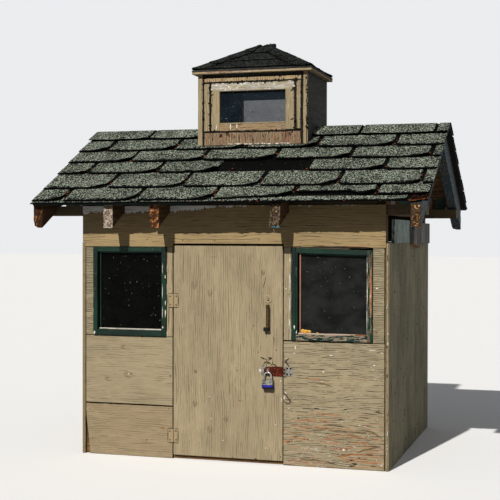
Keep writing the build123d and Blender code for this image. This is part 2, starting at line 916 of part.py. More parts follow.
# Pull handle with a rosette above and a foot below
with BuildPart() as door_handle:
    bar_face = front_face - handle_reach
    low = handle_top - handle_length
    grip = [
        (front_face, handle_top),
        (bar_face, handle_top - handle_bar),
        (bar_face, low + handle_bar),
        (front_face, low),
        (front_face, low + handle_bar),
        (bar_face + handle_bar, low + 2 * handle_bar),
        (bar_face + handle_bar, handle_top - 2 * handle_bar),
        (front_face, handle_top - handle_bar),
    ]
    slope_profile(grip, handle_place - handle_width / 2, handle_width)
    fillet(door_handle.edges().filter_by(Axis.X).group_by(Axis.Y)[0], radius=handle_rounding)
    with BuildSketch(Plane.XZ.offset(-front_face)):
        with Locations((handle_place, handle_top - handle_bar / 2)):
            Circle(rosette_radius)
    extrude(amount=rosette)
    board(
        (handle_place - handle_width, handle_place + handle_width / 2),
        (front_face - rosette, front_face),
        (low - handle_bar, low + handle_bar),
    )
save(door_handle, "door_handle")
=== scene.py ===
import math
from itertools import product

import bpy
import numpy as np
from mathutils import Matrix, Vector


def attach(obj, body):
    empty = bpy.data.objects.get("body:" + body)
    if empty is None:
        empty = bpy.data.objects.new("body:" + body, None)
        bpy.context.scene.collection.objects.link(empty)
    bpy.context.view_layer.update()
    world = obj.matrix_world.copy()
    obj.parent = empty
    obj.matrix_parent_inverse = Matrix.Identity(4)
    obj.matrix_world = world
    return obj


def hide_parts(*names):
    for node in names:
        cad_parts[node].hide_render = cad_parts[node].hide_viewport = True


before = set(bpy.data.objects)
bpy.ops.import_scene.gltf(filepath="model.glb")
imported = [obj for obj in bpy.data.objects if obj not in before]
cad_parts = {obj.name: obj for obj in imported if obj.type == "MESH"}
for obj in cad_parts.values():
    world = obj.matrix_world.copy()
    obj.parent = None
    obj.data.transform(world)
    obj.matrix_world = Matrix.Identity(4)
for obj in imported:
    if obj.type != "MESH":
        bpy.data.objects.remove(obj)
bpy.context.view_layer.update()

# ---------------------------------------------------------------- lines of the part, mm
FRONT, FRAME_FRONT = -508.0, -495.3
SIDE, FRAME_SIDE = 610.0, 597.3
PLY = 3.2
PLATE_TOP = 974.5
SIDE_SHEET_TOP = 832.0
PITCH = math.radians(27.5)
SLOPE = math.tan(PITCH)
RAFTER_PLUMB = 79.0 / math.cos(PITCH)
RIDGE = PLATE_TOP - 21.0 + RAFTER_PLUMB - FRAME_FRONT * SLOPE
TAIL = -623.0
RIDGE_FACE = -9.5
STUD = 38.0
BARGE_LEFT, BARGE_RIGHT = -764.0, 742.0
RAFTERS = (-450.0, -262.0, 212.0)
SHINGLE_EDGE = 771.0
DECK = 9.5
EXPOSURE = 113.0
EAVE_LIMIT = 647.3
SHINGLES_HIGH = 9.0
FULL_COURSES = 6
STARTER = 43.0
ODD_SLOT, EVEN_SLOT, TAB = 114.0, -36.0, 304.8
CAP_REACH, CAP_RISE = 108.0, 24.8
CUPOLA_X = -13.0
CUPOLA_HALF = 233.0
CUPOLA_FACE = -173.0
CUPOLA_SHEET = -163.5
SASH_FACE = CUPOLA_FACE + 3
SASH_DEPTH = 22
CUPOLA_TOP = 1521.0
EAVE_TOP = CUPOLA_TOP + 9.5
CUPOLA_DECK = 6.35
EAVE_HALF_X, EAVE_HALF_Y = 253.0, 193.0
CUPOLA_RISE = 118.0
CUPOLA_RIDGE_HALF = 15.0
CAP_LIMIT = 1664.7
DOOR_LEFT, DOOR_RIGHT = -226.5, 209.5
DOORWAY_LEFT, DOORWAY_RIGHT = -229.0, 212.0
DOOR_LOW, DOOR_HIGH = 14.0, 820.5
DOORWAY_TOP = 828.5
WINDOW_LOW, WINDOW_HIGH = 469.0, 815.0
PROUD = FRONT - 8.0
PANE_DEPTH = 10.0
STAPLE_X = 154.0
MARKS_FROM = -6.0  # marks were read from the photo that much too far right


# ---------------------------------------------------------------- numbers and noise
def srgb(red, green, blue):
    """A colour as the eye reads it, 0 to 255, as the linear colour that a shader takes."""
    linear = [((c / 255 + 0.055) / 1.055) ** 2.4 if c > 10 else c / 255 / 12.92 for c in (red, green, blue)]
    return (*linear, 1.0)


def shade(color, amount):
    """A darker or lighter tone of a colour, 0 to 255."""
    return tuple(min(255, c * amount) for c in color)


def field(points, size, seed=0):
    """Smooth noise from -1 to 1 at points, with features of about that size."""
    spot = np.asarray(points, dtype=float) / size + seed * 17.31
    base = np.floor(spot).astype(np.int64)
    part = spot - base
    part = part * part * (3 - 2 * part)
    total = np.zeros(spot.shape[0])
    for corner in product((0, 1), repeat=3):
        c = base + np.array(corner)
        h = (c[:, 0] * 374761393 + c[:, 1] * 668265263 + c[:, 2] * 1274126177 + seed * 144665) & 0xFFFFFFFF
        h = ((h ^ (h >> 13)) * 1103515245) & 0xFFFFFFFF
        h = ((h ^ (h >> 16)) * 2246822519) & 0xFFFFFFFF
        value = ((h >> 8) & 0xFFFF) / 32767.5 - 1
        weight = np.where(np.array(corner) == 1, part, 1 - part).prod(axis=1)
        total += weight * value
    return total


def ease(value):
    """0 below 0, 1 above 1, and smooth between."""
    v = np.clip(value, 0, 1)
    return v * v * (3 - 2 * v)


# ---------------------------------------------------------------- mesh building
def lattice(us, vs, ws):
    """Points and quads of the skin of a block that is cut at these places along its three ways."""
    shape = (len(us), len(vs), len(ws))
    skin = np.ones(shape, bool)
    skin[1:-1, 1:-1, 1:-1] = False
    index = np.full(shape, -1)
    index[skin] = np.arange(skin.sum())
    points = np.stack(np.meshgrid(us, vs, ws, indexing="ij"), -1)[skin]

    def quads(grid, flip):
        q = np.stack([grid[:-1, :-1], grid[1:, :-1], grid[1:, 1:], grid[:-1, 1:]], -1).reshape(-1, 4)
        return q[:, ::-1] if flip else q

    faces = [
        quads(index[0], True), quads(index[-1], False),
        quads(index[:, 0], False), quads(index[:, -1], True),
        quads(index[:, :, 0], True), quads(index[:, :, -1], False),
    ]
    return points.astype(float), np.vstack(faces)


ALONG_XZ, ALONG_YZ = np.array([1, 0, 1]), np.array([0, 1, 1])


def cuts(low, high, cell, edge):
    """Places about a cell apart from low to high, with one more just inside each end."""
    count = max(2, int(round((high - low) / cell)) + 1)
    return np.concatenate([[low], np.linspace(low + edge, high - edge, count), [high]])


def block(low, high, cell=15.0, wear=0.6, seed=0, edge=1.0, chips=3.0, bend=None):
    """A board with rounded and chipped edges, all of it inside its box."""
    low, high = np.array(low, float), np.array(high, float)
    points, faces = lattice(*[cuts(a, b, cell, min(edge, (b - a) / 4)) for a, b in zip(low, high)])
    inward = np.where(points <= low, 1.0, 0.0) - np.where(points >= high, 1.0, 0.0)
    on_edge = (np.abs(inward).sum(axis=1) >= 2).astype(float)
    bite = 0.7 + 0.5 * field(points, 9, seed) + chips * ease((field(points, 22, seed + 3) - 0.45) * 4)
    points = points + inward * (on_edge * wear * np.maximum(bite, 0.25))[:, None]
    if bend is not None:
        points = bend(points)
    return points, faces


def edge_kinds(points, faces, thick):
    """0 for the broad faces of a sheet that is thin along an axis, 1 for its edges."""
    a, b, c = points[faces[:, 0]], points[faces[:, 1]], points[faces[:, 2]]
    normal = np.cross(b - a, c - a)
    normal /= np.maximum(np.linalg.norm(normal, axis=1), 1e-9)[:, None]
    return np.where(np.abs(normal[:, thick]) > 0.6, 0, 1)


def plate(us, vs, upper, lower, keep=None):
    """A sheet between two surfaces over a grid, less the cells that keep refuses.

    Gives points, quads and a number for each quad: 0 upper, 1 lower, 2 rim."""
    nu, nv = len(us), len(vs)
    u, v = np.meshgrid(us, vs, indexing="ij")
    points = np.vstack([upper(u.ravel(), v.ravel()), lower(u.ravel(), v.ravel())])
    number = np.arange(nu * nv).reshape(nu, nv)
    middle_u = (u[:-1, :-1] + u[1:, 1:]) / 2
    middle_v = (v[:-1, :-1] + v[1:, 1:]) / 2
    kept = np.ones(middle_u.shape, bool) if keep is None else keep(middle_u, middle_v)
    padded = np.zeros((nu + 1, nv + 1), bool)
    padded[1:-1, 1:-1] = kept
    under = nu * nv
    corner = [number[:-1, :-1], number[1:, :-1], number[1:, 1:], number[:-1, 1:]]
    top = np.stack([c[kept] for c in corner], -1)
    faces = [top, top[:, ::-1] + under]
    kinds = [np.zeros(len(top), int), np.ones(len(top), int)]
    sides = ((0, 1, padded[1:-1, :-2]), (1, 2, padded[2:, 1:-1]), (2, 3, padded[1:-1, 2:]), (3, 0, padded[:-2, 1:-1]))
    for first, second, neighbour in sides:
        open_side = kept & ~neighbour
        a, b = corner[first][open_side], corner[second][open_side]
        faces.append(np.stack([b, a, a + under, b + under], -1))
        kinds.append(np.full(len(a), 2))
    faces, kinds = np.vstack(faces), np.concatenate(kinds)
    used = np.unique(faces)
    renumber = np.zeros(len(points), int)
    renumber[used] = np.arange(len(used))
    return points[used], renumber[faces], kinds


class Shape:
    """A mesh gathered from parts, in millimetres."""

    def __init__(self):
        self.points, self.faces, self.kinds, self.total = [], [], [], 0

    def add(self, points, faces, kind=0):
        faces = [np.asarray(face) + self.total for face in faces]
        self.points.append(points)
        self.faces.extend(faces)
        self.kinds.append(np.full(len(faces), kind) if np.isscalar(kind) else np.asarray(kind))
        self.total += len(points)

    def board(self, low, high, cell, wear, seed, kind=0, **more):
        """Add a block, see block."""
        points, faces = block(low, high, cell, wear, seed, **more)
        self.add(points, faces, kind)

    def piece(self, name, body, materials, replaced=(), smooth=None):
        """Make the object, let it ride on its body, and hide the CAD parts that it stands for."""
        mesh = bpy.data.meshes.new(name)
        mesh.from_pydata((np.vstack(self.points) / 1000).tolist(), [], [face.tolist() for face in self.faces])
        for material in materials:
            mesh.materials.append(material)
        mesh.polygons.foreach_set("material_index", np.concatenate(self.kinds).astype(np.int32))
        if smooth is not None:
            mesh.polygons.foreach_set("use_smooth", np.ones(len(mesh.polygons), bool))
            mesh.set_sharp_from_angle(angle=math.radians(smooth))
        mesh.update()
        thing = bpy.data.objects.new(name, mesh)
        bpy.context.scene.collection.objects.link(thing)
        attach(thing, body)
        if replaced:
            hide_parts(*replaced)
        return thing


def spot(shape, x, z, width, height, seed, kind=0, face=FRONT, thick=0.35, sides=11, rag=0.25, tilt=0.0):
    """A thin ragged flake or a nail head on the front of a sheet."""
    x = x + MARKS_FROM
    turn = np.arange(sides) * 2 * math.pi / sides
    ring = np.stack([np.cos(turn), np.zeros(sides), np.sin(turn)], -1)
    radius = 1 + rag * field(ring * 3 + np.array([x, 0, z]), 1.1, seed)
    flat_x = ring[:, 0] * radius * width / 2
    flat_z = ring[:, 2] * radius * height / 2
    ca, sa = math.cos(math.radians(tilt)), math.sin(math.radians(tilt))
    xs, zs = x + flat_x * ca - flat_z * sa, z + flat_x * sa + flat_z * ca
    outer = np.stack([xs, np.full(sides, face + 0.5), zs], -1)
    inner = np.stack([x + (xs - x) * 0.86, np.full(sides, face - thick), z + (zs - z) * 0.86], -1)
    points = np.vstack([outer, inner])
    faces = [list(range(sides)), list(reversed(range(sides, 2 * sides)))]
    for i in range(sides):
        j = (i + 1) % sides
        faces.append([i, sides + i, sides + j, j])
    shape.add(points, faces, kind)


def stroke(shape, path, width, kind=0, face=FRONT, thick=0.3):
    """A thin line along a path of (x, z) places on the front of a sheet, pointed at both ends."""
    path = np.array(path, float) + np.array([MARKS_FROM, 0.0])
    way = np.gradient(path, axis=0)
    way /= np.maximum(np.linalg.norm(way, axis=1), 1e-9)[:, None]
    side = np.stack([-way[:, 1], way[:, 0]], -1)
    taper = np.sin(np.linspace(0.12, 0.88, len(path)) * math.pi)[:, None] * width / 2
    left, right = path + side * taper, path - side * taper
    count = len(path)
    rows = []
    for line, depth in ((left, 0.4), (right, 0.4), (right, -thick), (left, -thick)):
        rows.append(np.stack([line[:, 0], np.full(count, face + depth), line[:, 1]], -1))
    points = np.vstack(rows)
    faces = []
    for i in range(count - 1):
        for a, b in ((0, 1), (1, 2), (2, 3), (3, 0)):
            faces.append([a * count + i, b * count + i, b * count + i + 1, a * count + i + 1])
    faces.append([0, 3 * count, 2 * count, count])
    last = count - 1
    faces.append([last, count + last, 2 * count + last, 3 * count + last])
    shape.add(points, faces, kind)


# ---------------------------------------------------------------- materials
class Paint:
    """A node material whose patterns follow the part's own coordinates, in metres."""

    def __init__(self, name):
        self.material = bpy.data.materials.new(name)
        self.material.use_nodes = True
        tree = self.material.node_tree
        self.nodes, self.links = tree.nodes, tree.links
        self.shader = self.nodes["Principled BSDF"]
        place = self.nodes.new("ShaderNodeTexCoord")
        self.at = place.outputs["Object"]
        self.shader.inputs["Specular IOR Level"].default_value = 0.12

    def feed(self, socket, value):
        if isinstance(value, bpy.types.NodeSocket):
            self.links.new(value, socket)
        else:
            socket.default_value = value

    def math(self, kind, a, b=0.0, clamp=False):
        node = self.nodes.new("ShaderNodeMath")
        node.operation, node.use_clamp = kind, clamp
        self.feed(node.inputs[0], a)
        self.feed(node.inputs[1], b)
        return node.outputs[0]

    def vector(self, kind, a, b):
        node = self.nodes.new("ShaderNodeVectorMath")
        node.operation = kind
        self.feed(node.inputs[0], a)
        self.feed(node.inputs[1], b)
        return node.outputs[0]

    def times(self, a, b):
        return self.math("MULTIPLY", a, b)

    def plus(self, a, b):
        return self.math("ADD", a, b)

    def minus(self, a, b):
        return self.math("SUBTRACT", a, b)

    def axis(self, number):
        node = self.nodes.new("ShaderNodeSeparateXYZ")
        self.feed(node.inputs[0], self.at)
        return node.outputs[number]

    def noise(self, scale, detail=3.0, rough=0.55, seed=0.0, bend=0.0, color=False):
        """Noise with its own scale along each axis, in features a metre."""
        scale = (scale, scale, scale) if isinstance(scale, (int, float)) else scale
        spread = self.vector("MULTIPLY", self.at, scale)
        moved = self.vector("ADD", spread, (seed * 3.7, seed * 5.3, seed * 7.9))
        node = self.nodes.new("ShaderNodeTexNoise")
        self.feed(node.inputs["Vector"], moved)
        node.inputs["Scale"].default_value = 1.0
        node.inputs["Detail"].default_value = detail
        node.inputs["Roughness"].default_value = rough
        node.inputs["Distortion"].default_value = bend
        return node.outputs["Color" if color else "Fac"]

    def sway(self, amount, scale, seed=0.0):
        """Let the patterns that follow wander by up to an amount."""
        drift = self.vector("SUBTRACT", self.noise(scale, 2, 0.5, seed, color=True), (0.5, 0.5, 0.5))
        self.at = self.vector("ADD", self.at, self.vector("MULTIPLY", drift, (amount, amount, amount)))

    def step(self, value, low, high, start=0.0, end=1.0):
        """Smooth from start to end as value goes from low to high."""
        node = self.nodes.new("ShaderNodeMapRange")
        node.interpolation_type = "SMOOTHSTEP"
        names = ("Value", "From Min", "From Max", "To Min", "To Max")
        for name, number in zip(names, (value, low, high, start, end)):
            self.feed(node.inputs[name], number)
        return node.outputs[0]

    def mix(self, amount, a, b):
        """Colour a, or b where amount is 1: sockets, or colours as the eye reads them, 0 to 255."""
        node = self.nodes.new("ShaderNodeMix")
        node.data_type, node.blend_type = "RGBA", "MIX"
        self.feed(node.inputs["Factor"], amount)
        for socket, value in ((node.inputs[6], a), (node.inputs[7], b)):
            eye = isinstance(value, tuple) and len(value) == 3
            self.feed(socket, srgb(*value) if eye else value)
        return node.outputs[2]

    def lines(self, value, count, thin):
        """1 on thin lines where a smooth value passes each of its levels, else 0."""
        wave = self.math("FRACT", self.times(value, count))
        off = self.math("ABSOLUTE", self.minus(wave, 0.5))
        return self.step(off, thin, 0.0)

    def bump(self, height, distance):
        node = self.nodes.new("ShaderNodeBump")
        node.inputs["Strength"].default_value = 1.0
        node.inputs["Distance"].default_value = distance
        self.feed(node.inputs["Height"], height)
        self.links.new(node.outputs[0], self.shader.inputs["Normal"])

    def done(self, color, rough, metal=0.0, **others):
        self.feed(self.shader.inputs["Base Color"], color)
        self.feed(self.shader.inputs["Roughness"], rough)
        self.feed(self.shader.inputs["Metallic"], metal)
        for name, value in others.items():
            self.feed(self.shader.inputs[name.replace("_", " ")], value)
        return self.material


GRAIN = {"x": (1.0, 0.0, 0.0), "y": (0.0, 1.0, 0.0), "z": (0.0, 0.0, 1.0)}


def way(along, slow, fast):
    """Scales for a pattern that is stretched along one axis."""
    return tuple(slow if flag else fast for flag in GRAIN[along])


def grain_lines(p, along, count, width, seed, warp=2.0, jitter=1.0, keep=(0.42, 0.58), patch=(9.0, 50.0)):
    """1 on thin wandering grain lines, count a metre and width metres wide, that come and go."""
    across = [p.axis(number) for number, flag in enumerate(GRAIN[along]) if not flag]
    place = p.times(p.plus(*across), count)
    place = p.plus(place, p.times(p.noise(way(along, 1.5, 6.0), 2, 0.5, seed), warp))
    place = p.plus(place, p.times(p.noise(way(along, 4.0, 60.0), 2, 0.5, seed + 1), jitter))
    off = p.math("ABSOLUTE", p.minus(p.math("FRACT", place), 0.5))
    line = p.step(off, width * count * 0.62, width * count * 0.3)
    return p.times(line, p.step(p.noise(way(along, *patch), 3, 0.6, seed + 2), *keep))


def painted_wood(
    name, along, paint, wood=(150, 112, 78), dark=(92, 66, 44), under=(214, 204, 186), bare=0.20, grain=0.55,
    streak=0.5, seed=0, rough=0.78, low=None, spots=0.0, tone=(0.95, 1.05), fine=1.0,
    sway=0.02, smear=False, gloss=0.12, strong=0.45, count=115.0, width=0.0016, warp=2.0, keep=(0.42, 0.58),
    patch=(9.0, 50.0),
    orange=None,
):
    """Paint on wood or plywood: dark grain lines show through, and it has flaked where noise is under bare.

    low: from and to height, and how much more it has flaked below. orange: the same heights and share for
    bare orange streaks. smear: near-white streaks over its upper edge, reaching lower towards the left.
    strong: how dark the grain lines are."""
    p = Paint(name)
    height = p.axis(2)
    place = p.axis(0)
    p.sway(sway, way(along, 4.0, 9.0), seed + 10)
    fibres = p.noise(way(along, 12.0 * fine, 420.0 * fine), 3, 0.6, seed + 3)
    lines = grain_lines(p, along, count * fine, width, seed + 1, warp, 1.6, keep, patch)
    thin = grain_lines(
        p, along, count * 1.9 * fine, width * 0.6, seed + 4, warp * 2.0, 2.0, (0.40, 0.62), (22.0, 90.0)
    )
    pale = grain_lines(p, along, count * 1.3 * fine, width, seed + 8, warp * 1.4, 2.0, (0.46, 0.60), (14.0, 60.0))
    patchy = p.noise(way(along, 3.0, 9.0), 4, 0.6, seed + 5)
    coat = p.mix(p.step(patchy, 0.35, 0.65), shade(paint, tone[0]), shade(paint, tone[1]))
    coat = p.mix(p.times(p.step(fibres, 0.62, 0.40), streak), coat, shade(paint, 0.88))
    coat = p.mix(p.times(pale, 0.6), coat, shade(paint, 1.12))
    if orange is not None:
        warm = grain_lines(p, along, 80.0, 0.0042, seed + 14, 9.0, 3.0, (0.42, 0.54), (6.0, 30.0))
        wander = p.times(p.noise(way(along, 2.0, 5.0), 3, 0.6, seed + 15), 0.22)
        share = p.step(p.plus(height, wander), *orange, 0.0)
        coat = p.mix(p.times(warm, share), coat, (182, 124, 80))
    dark_lines = p.math("MAXIMUM", p.times(lines, grain), p.times(thin, grain * 0.6))
    coat = p.mix(dark_lines, coat, shade(paint, strong))
    timber = p.mix(p.step(fibres, 0.35, 0.65), dark, wood)
    timber = p.mix(p.times(lines, 0.7), timber, shade(dark, 0.5))
    cover = p.noise(way(along, 14.0 * fine, 110.0 * fine), 5, 0.66, seed + 6)
    cover = p.plus(cover, p.times(p.minus(patchy, 0.5), 0.5))
    if low is not None:
        cover = p.minus(cover, p.step(height, *low, 0.0))
    left = p.step(cover, bare, bare + 0.02)
    primer = p.step(cover, bare + 0.04, bare + 0.02)
    color = p.mix(left, timber, p.mix(primer, coat, under))
    if spots:
        dots = p.step(p.noise(150.0, 2, 0.5, seed + 8), 0.765 - spots, 0.785 - spots)
        color = p.mix(dots, color, under)
        pits = p.step(p.noise(160.0, 2, 0.5, seed + 18), 0.775 - spots, 0.795 - spots)
        color = p.mix(pits, color, shade(paint, 0.4))
    if smear:
        ragged = p.times(p.noise((70.0, 5.0, 24.0), 4, 0.7, seed + 12), 0.05)
        edge = p.plus(ragged, p.step(place, -0.35, 0.20, 0.922, 0.952))
        streaks = p.step(p.noise((9.0, 5.0, 220.0), 3, 0.6, seed + 16), 0.30, 0.46)
        color = p.mix(p.times(p.step(p.minus(height, edge), 0.0, 0.002), streaks), color, (250, 249, 246))
    p.bump(p.plus(p.times(left, 0.5), p.minus(p.times(fibres, 0.6), p.times(lines, 0.7))), 0.0008)
    return p.done(color, p.step(fibres, 0.3, 0.7, rough - 0.08, rough + 0.12), Specular_IOR_Level=gloss)


def bare_wood(name, along, light, dark, crack=(38, 26, 18), seed=0, crevice=0.5, grey=None, scale=1.0, black_beyond=None):
    """Weathered timber with no paint: fibres, dark checks, and a patchy tone."""
    p = Paint(name)
    fibres = p.noise(way(along, 9.0 * scale, 260.0 * scale), 4, 0.62, seed)
    broad = p.noise(way(along, 3.0 * scale, 40.0 * scale), 3, 0.55, seed + 1, bend=0.5)
    rings = p.lines(broad, 7.0, 0.2)
    patches = p.noise(way(along, 10.0 * scale, 30.0 * scale), 4, 0.65, seed + 2)
    color = p.mix(p.step(fibres, 0.34, 0.66), dark, light)
    color = p.mix(p.times(rings, 0.5), color, shade(dark, 0.75))
    if grey:
        color = p.mix(p.step(patches, 0.42, 0.62), color, grey)
    checks = p.step(p.noise(way(along, 12.0 * scale, 120.0 * scale), 4, 0.6, seed + 3), 0.56, 0.64)
    checks = p.math("MULTIPLY", checks, crevice * 2, clamp=True)
    color = p.mix(checks, color, crack)
    # near-black where the distance from the middle along x passes the given value
    if black_beyond:
        color = p.mix(p.step(p.math("ABSOLUTE", p.axis(0)), black_beyond, black_beyond + 0.001), color, (12, 11, 10))
    p.bump(p.minus(fibres, p.times(checks, 0.9)), 0.0012)
    return p.done(color, p.step(patches, 0.3, 0.7, 0.7, 0.92))


def rotten_end(name, light, mid, dark, seed, scale=1.0, dark_share=0.5):
    """The decayed end of a rafter: punky blotches of bright and dark wood."""
    p = Paint(name)
    blotch = p.noise(95.0 * scale, 4, 0.68, seed, bend=0.8)
    speck = p.noise(240.0 * scale, 3, 0.6, seed + 2)
    color = p.mix(p.step(blotch, 0.40, 0.56), mid, light)
    hollow = p.step(
        p.noise(70.0 * scale, 4, 0.7, seed + 4, bend=1.2), 0.58 - dark_share * 0.16, 0.50 - dark_share * 0.16
    )
    hollow = p.minus(1.0, hollow)
    color = p.mix(p.times(hollow, 0.9), color, dark)
    color = p.mix(p.step(speck, 0.62, 0.7), color, shade(dark, 0.6))
    p.bump(p.minus(blotch, hollow), 0.0022)
    return p.done(color, p.step(speck, 0.3, 0.7, 0.78, 0.95))


def granules(name, base, light, dark, seed=0, grain=(185.0, 115.0, 115.0)):
    """Mineral granules on asphalt: pale and dark grains, with black felt between them."""
    p = Paint(name)
    grit = p.noise(grain, 3, 0.72, seed)
    fine = p.noise(tuple(g * 2.3 for g in grain), 2, 0.6, seed + 1)
    patches = p.noise(9.0, 4, 0.6, seed + 2)
    level = p.plus(grit, p.times(p.minus(fine, 0.5), 0.35))
    level = p.plus(level, p.times(p.minus(patches, 0.5), 0.16))
    color = p.mix(p.step(level, 0.45, 0.48), dark, base)
    color = p.mix(p.step(level, 0.53, 0.57), color, light)
    p.bump(level, 0.0014)
    return p.done(color, p.step(grit, 0.3, 0.7, 0.84, 0.98), Specular_IOR_Level=0.06)


def asphalt(name, seed=0):
    """The black felt core of a shingle, dusty in places."""
    p = Paint(name)
    dust = p.noise(60.0, 5, 0.7, seed)
    speck = p.noise(300.0, 2, 0.5, seed + 1)
    color = p.mix(p.step(dust, 0.45, 0.75), (2, 2, 2), (10, 9, 8))
    color = p.mix(p.step(speck, 0.72, 0.75), color, (96, 98, 88))
    p.bump(speck, 0.0008)
    return p.done(color, p.step(dust, 0.3, 0.7, 0.8, 0.95), Specular_IOR_Level=0.04)


def rusty(name, light=(122, 48, 24), mid=(86, 32, 17), dark=(44, 20, 13), seed=0, paint=None, cover=0.5):
    """Rust in scales, with paint or zinc left on where cover says."""
    p = Paint(name)
    scales = p.noise(140.0, 5, 0.68, seed, bend=0.6)
    pits = p.noise(230.0, 3, 0.6, seed + 2)
    color = p.mix(p.step(scales, 0.42, 0.62), mid, light)
    color = p.mix(p.step(pits, 0.50, 0.42), color, dark)
    height = p.plus(scales, p.times(pits, 0.5))
    roughness = p.step(scales, 0.3, 0.7, 0.7, 0.92)
    if paint:
        keep = p.step(p.noise(110.0, 4, 0.6, seed + 5), 0.5 - cover * 0.35, 0.53 - cover * 0.35)
        color = p.mix(keep, color, paint)
        height = p.plus(height, keep)
    p.bump(height, 0.0006)
    return p.done(color, roughness)


def steel(name, tone=(168, 166, 158), dull=(96, 92, 84), seed=0, metal=0.85, rust=0.0):
    """Bare or plated steel with a dull bloom."""
    p = Paint(name)
    bloom = p.noise(90.0, 5, 0.65, seed)
    fine = p.noise((900.0, 900.0, 120.0), 2, 0.5, seed + 1)
    color = p.mix(p.step(bloom, 0.40, 0.66), tone, dull)
    if rust:
        color = p.mix(p.step(p.noise(160.0, 4, 0.65, seed + 3), 0.66 - rust, 0.72 - rust), color, (104, 52, 28))
    p.bump(fine, 0.00015)
    return p.done(color, p.step(bloom, 0.3, 0.7, 0.28, 0.5), metal)


def plain(name, color, other, scale=60.0, seed=0, rough=(0.6, 0.85), bite=0.0005, stretch=None):
    """A mottled finish for small things."""
    p = Paint(name)
    mottle = p.noise(stretch or scale, 4, 0.6, seed)
    fine = p.noise(scale * 5, 2, 0.5, seed + 1)
    tint = p.mix(p.step(mottle, 0.36, 0.64), color, other)
    p.bump(p.plus(mottle, p.times(fine, 0.4)), bite)
    return p.done(tint, p.step(fine, 0.3, 0.7, rough[0], rough[1]))


def glass(name, dust, alpha, tint=(2, 3, 2), *, seed, haze, specks):
    """Old window glass: a dark tint, with an even film of dust and a few pale specks, more of it towards the right.
    A near-black tint at high alpha is painted shade for the dark room behind a pane, and a blue-grey film and
    tint are painted sky light.
    """
    p = Paint(name)
    share = p.step(p.axis(0), -0.3, 0.25, haze[0], haze[1])
    film = p.noise((14.0, 14.0, 18.0), 3, 0.6, seed)
    grit = p.noise(260.0, 2, 0.5, seed + 4)
    dots = p.step(p.noise(170.0, 1.5, 0.5, seed + 2), specks, specks + 0.015)
    dust_and_sky_share = p.times(share, p.plus(p.step(film, 0.30, 0.68, 0.42, 1.02), p.step(grit, 0.4, 0.7, 0.0, 0.1)))
    color = p.mix(dust_and_sky_share, tint, dust)
    color = p.mix(p.times(dots, 0.8), color, (176, 176, 168))
    p.shader.inputs["IOR"].default_value = 1.45
    opacity = p.math("MAXIMUM", p.step(film, 0.35, 0.8, alpha, min(1.0, alpha + 0.06)), dots)
    p.material.surface_render_method = "BLENDED"
    return p.done(color, p.step(film, 0.3, 0.7, 0.06, 0.2), 0.0, Alpha=opacity, Specular_IOR_Level=0.03)


def ply_edge(name, start, light, dark, seed):
    """The cut edge of a side sheet that starts there, its plies light and dark by turns."""
    p = Paint(name)
    depth = p.math("DIVIDE", p.minus(p.axis(0), start / 1000), PLY / 1000)
    wobble = p.times(p.minus(p.noise(30.0, 3, 0.6, seed), 0.5), 0.5)
    turn = p.math("PINGPONG", p.plus(depth, wobble), 1.0)
    fibres = p.noise((300.0, 300.0, 60.0), 3, 0.6, seed + 1)
    color = p.mix(p.step(turn, 0.35, 0.65), light, dark)
    color = p.mix(p.step(fibres, 0.60, 0.70), color, shade(dark, 0.55))
    p.bump(p.minus(fibres, turn), 0.0008)
    return p.done(color, p.step(fibres, 0.3, 0.7, 0.75, 0.95))


TAN = (164, 149, 120)
PLY_WOOD = {"wood": (176, 132, 92), "dark": (128, 92, 60)}
GREEN_WOOD = {"wood": (112, 88, 68), "dark": (56, 46, 36), "under": (150, 160, 148)}
front_paint = painted_wood(
    "front_paint", "x", TAN, **PLY_WOOD, bare=0.19, seed=1, spots=0.008, grain=0.5, keep=(0.46, 0.60)
)
low_paint = painted_wood(
    "low_front_paint", "x", (167, 148, 117), **PLY_WOOD, bare=0.20, seed=2, spots=0.01, grain=0.5
)
stile_paint = painted_wood(
    "stile_paint", "x", (162, 149, 120), **PLY_WOOD, bare=0.22, seed=4, spots=0.03, grain=1.0, strong=0.22,
    count=150.0, keep=(0.34, 0.50), width=0.0017,
)
top_paint = painted_wood(
    "top_paint", "x", (166, 143, 104), wood=(170, 118, 76), bare=0.20, seed=5, grain=0.75, strong=0.3, smear=True,
    count=90.0,
)
upright_paint = painted_wood(
    "upright_paint", "z", (176, 159, 127), wood=(176, 132, 92), bare=0.20, seed=9, grain=0.8, keep=(0.38, 0.52)
)
door_paint = painted_wood(
    "door_paint", "z", (167, 151, 121), wood=(170, 122, 84), bare=0.17, seed=13, grain=0.55, spots=0.006,
    keep=(0.44, 0.58), warp=3.0,
)
worn_paint = painted_wood(
    "worn_paint", "x", (165, 151, 122), wood=(180, 134, 94), dark=(128, 90, 62), bare=0.235, grain=0.95, seed=17,
    strong=0.28,
    low=(0.02, 0.28, 0.135), spots=0.03, under=(216, 208, 194), sway=0.025, count=135.0, width=0.0017,
    keep=(0.44, 0.56), warp=3.0,
    patch=(14.0, 110.0), orange=(0.14, 0.40, 0.62),
)
side_paint = painted_wood(
    "side_paint", "z", (164, 156, 128), bare=0.15, seed=21, grain=0.9, streak=0.9, strong=0.30, spots=0.015,
    tone=(0.66, 1.20),
    under=(214, 216, 214), width=0.0026, count=90.0,
)
back_paint = painted_wood("back_paint", "x", (158, 144, 114), bare=0.2, seed=29)
edge_paint = ply_edge("side_sheet_edge", FRAME_SIDE, (176, 160, 124), (104, 88, 62), seed=25)
left_edge = ply_edge("left_sheet_edge", -SIDE, (172, 154, 118), (104, 88, 62), seed=27)
cut_edge = plain("panel_edge", (92, 76, 52), (50, 40, 28), 140.0, 31, (0.8, 0.95), 0.0008)
timber = bare_wood("frame_timber", "x", (150, 116, 80), (112, 80, 52), seed=35, crevice=0.3)
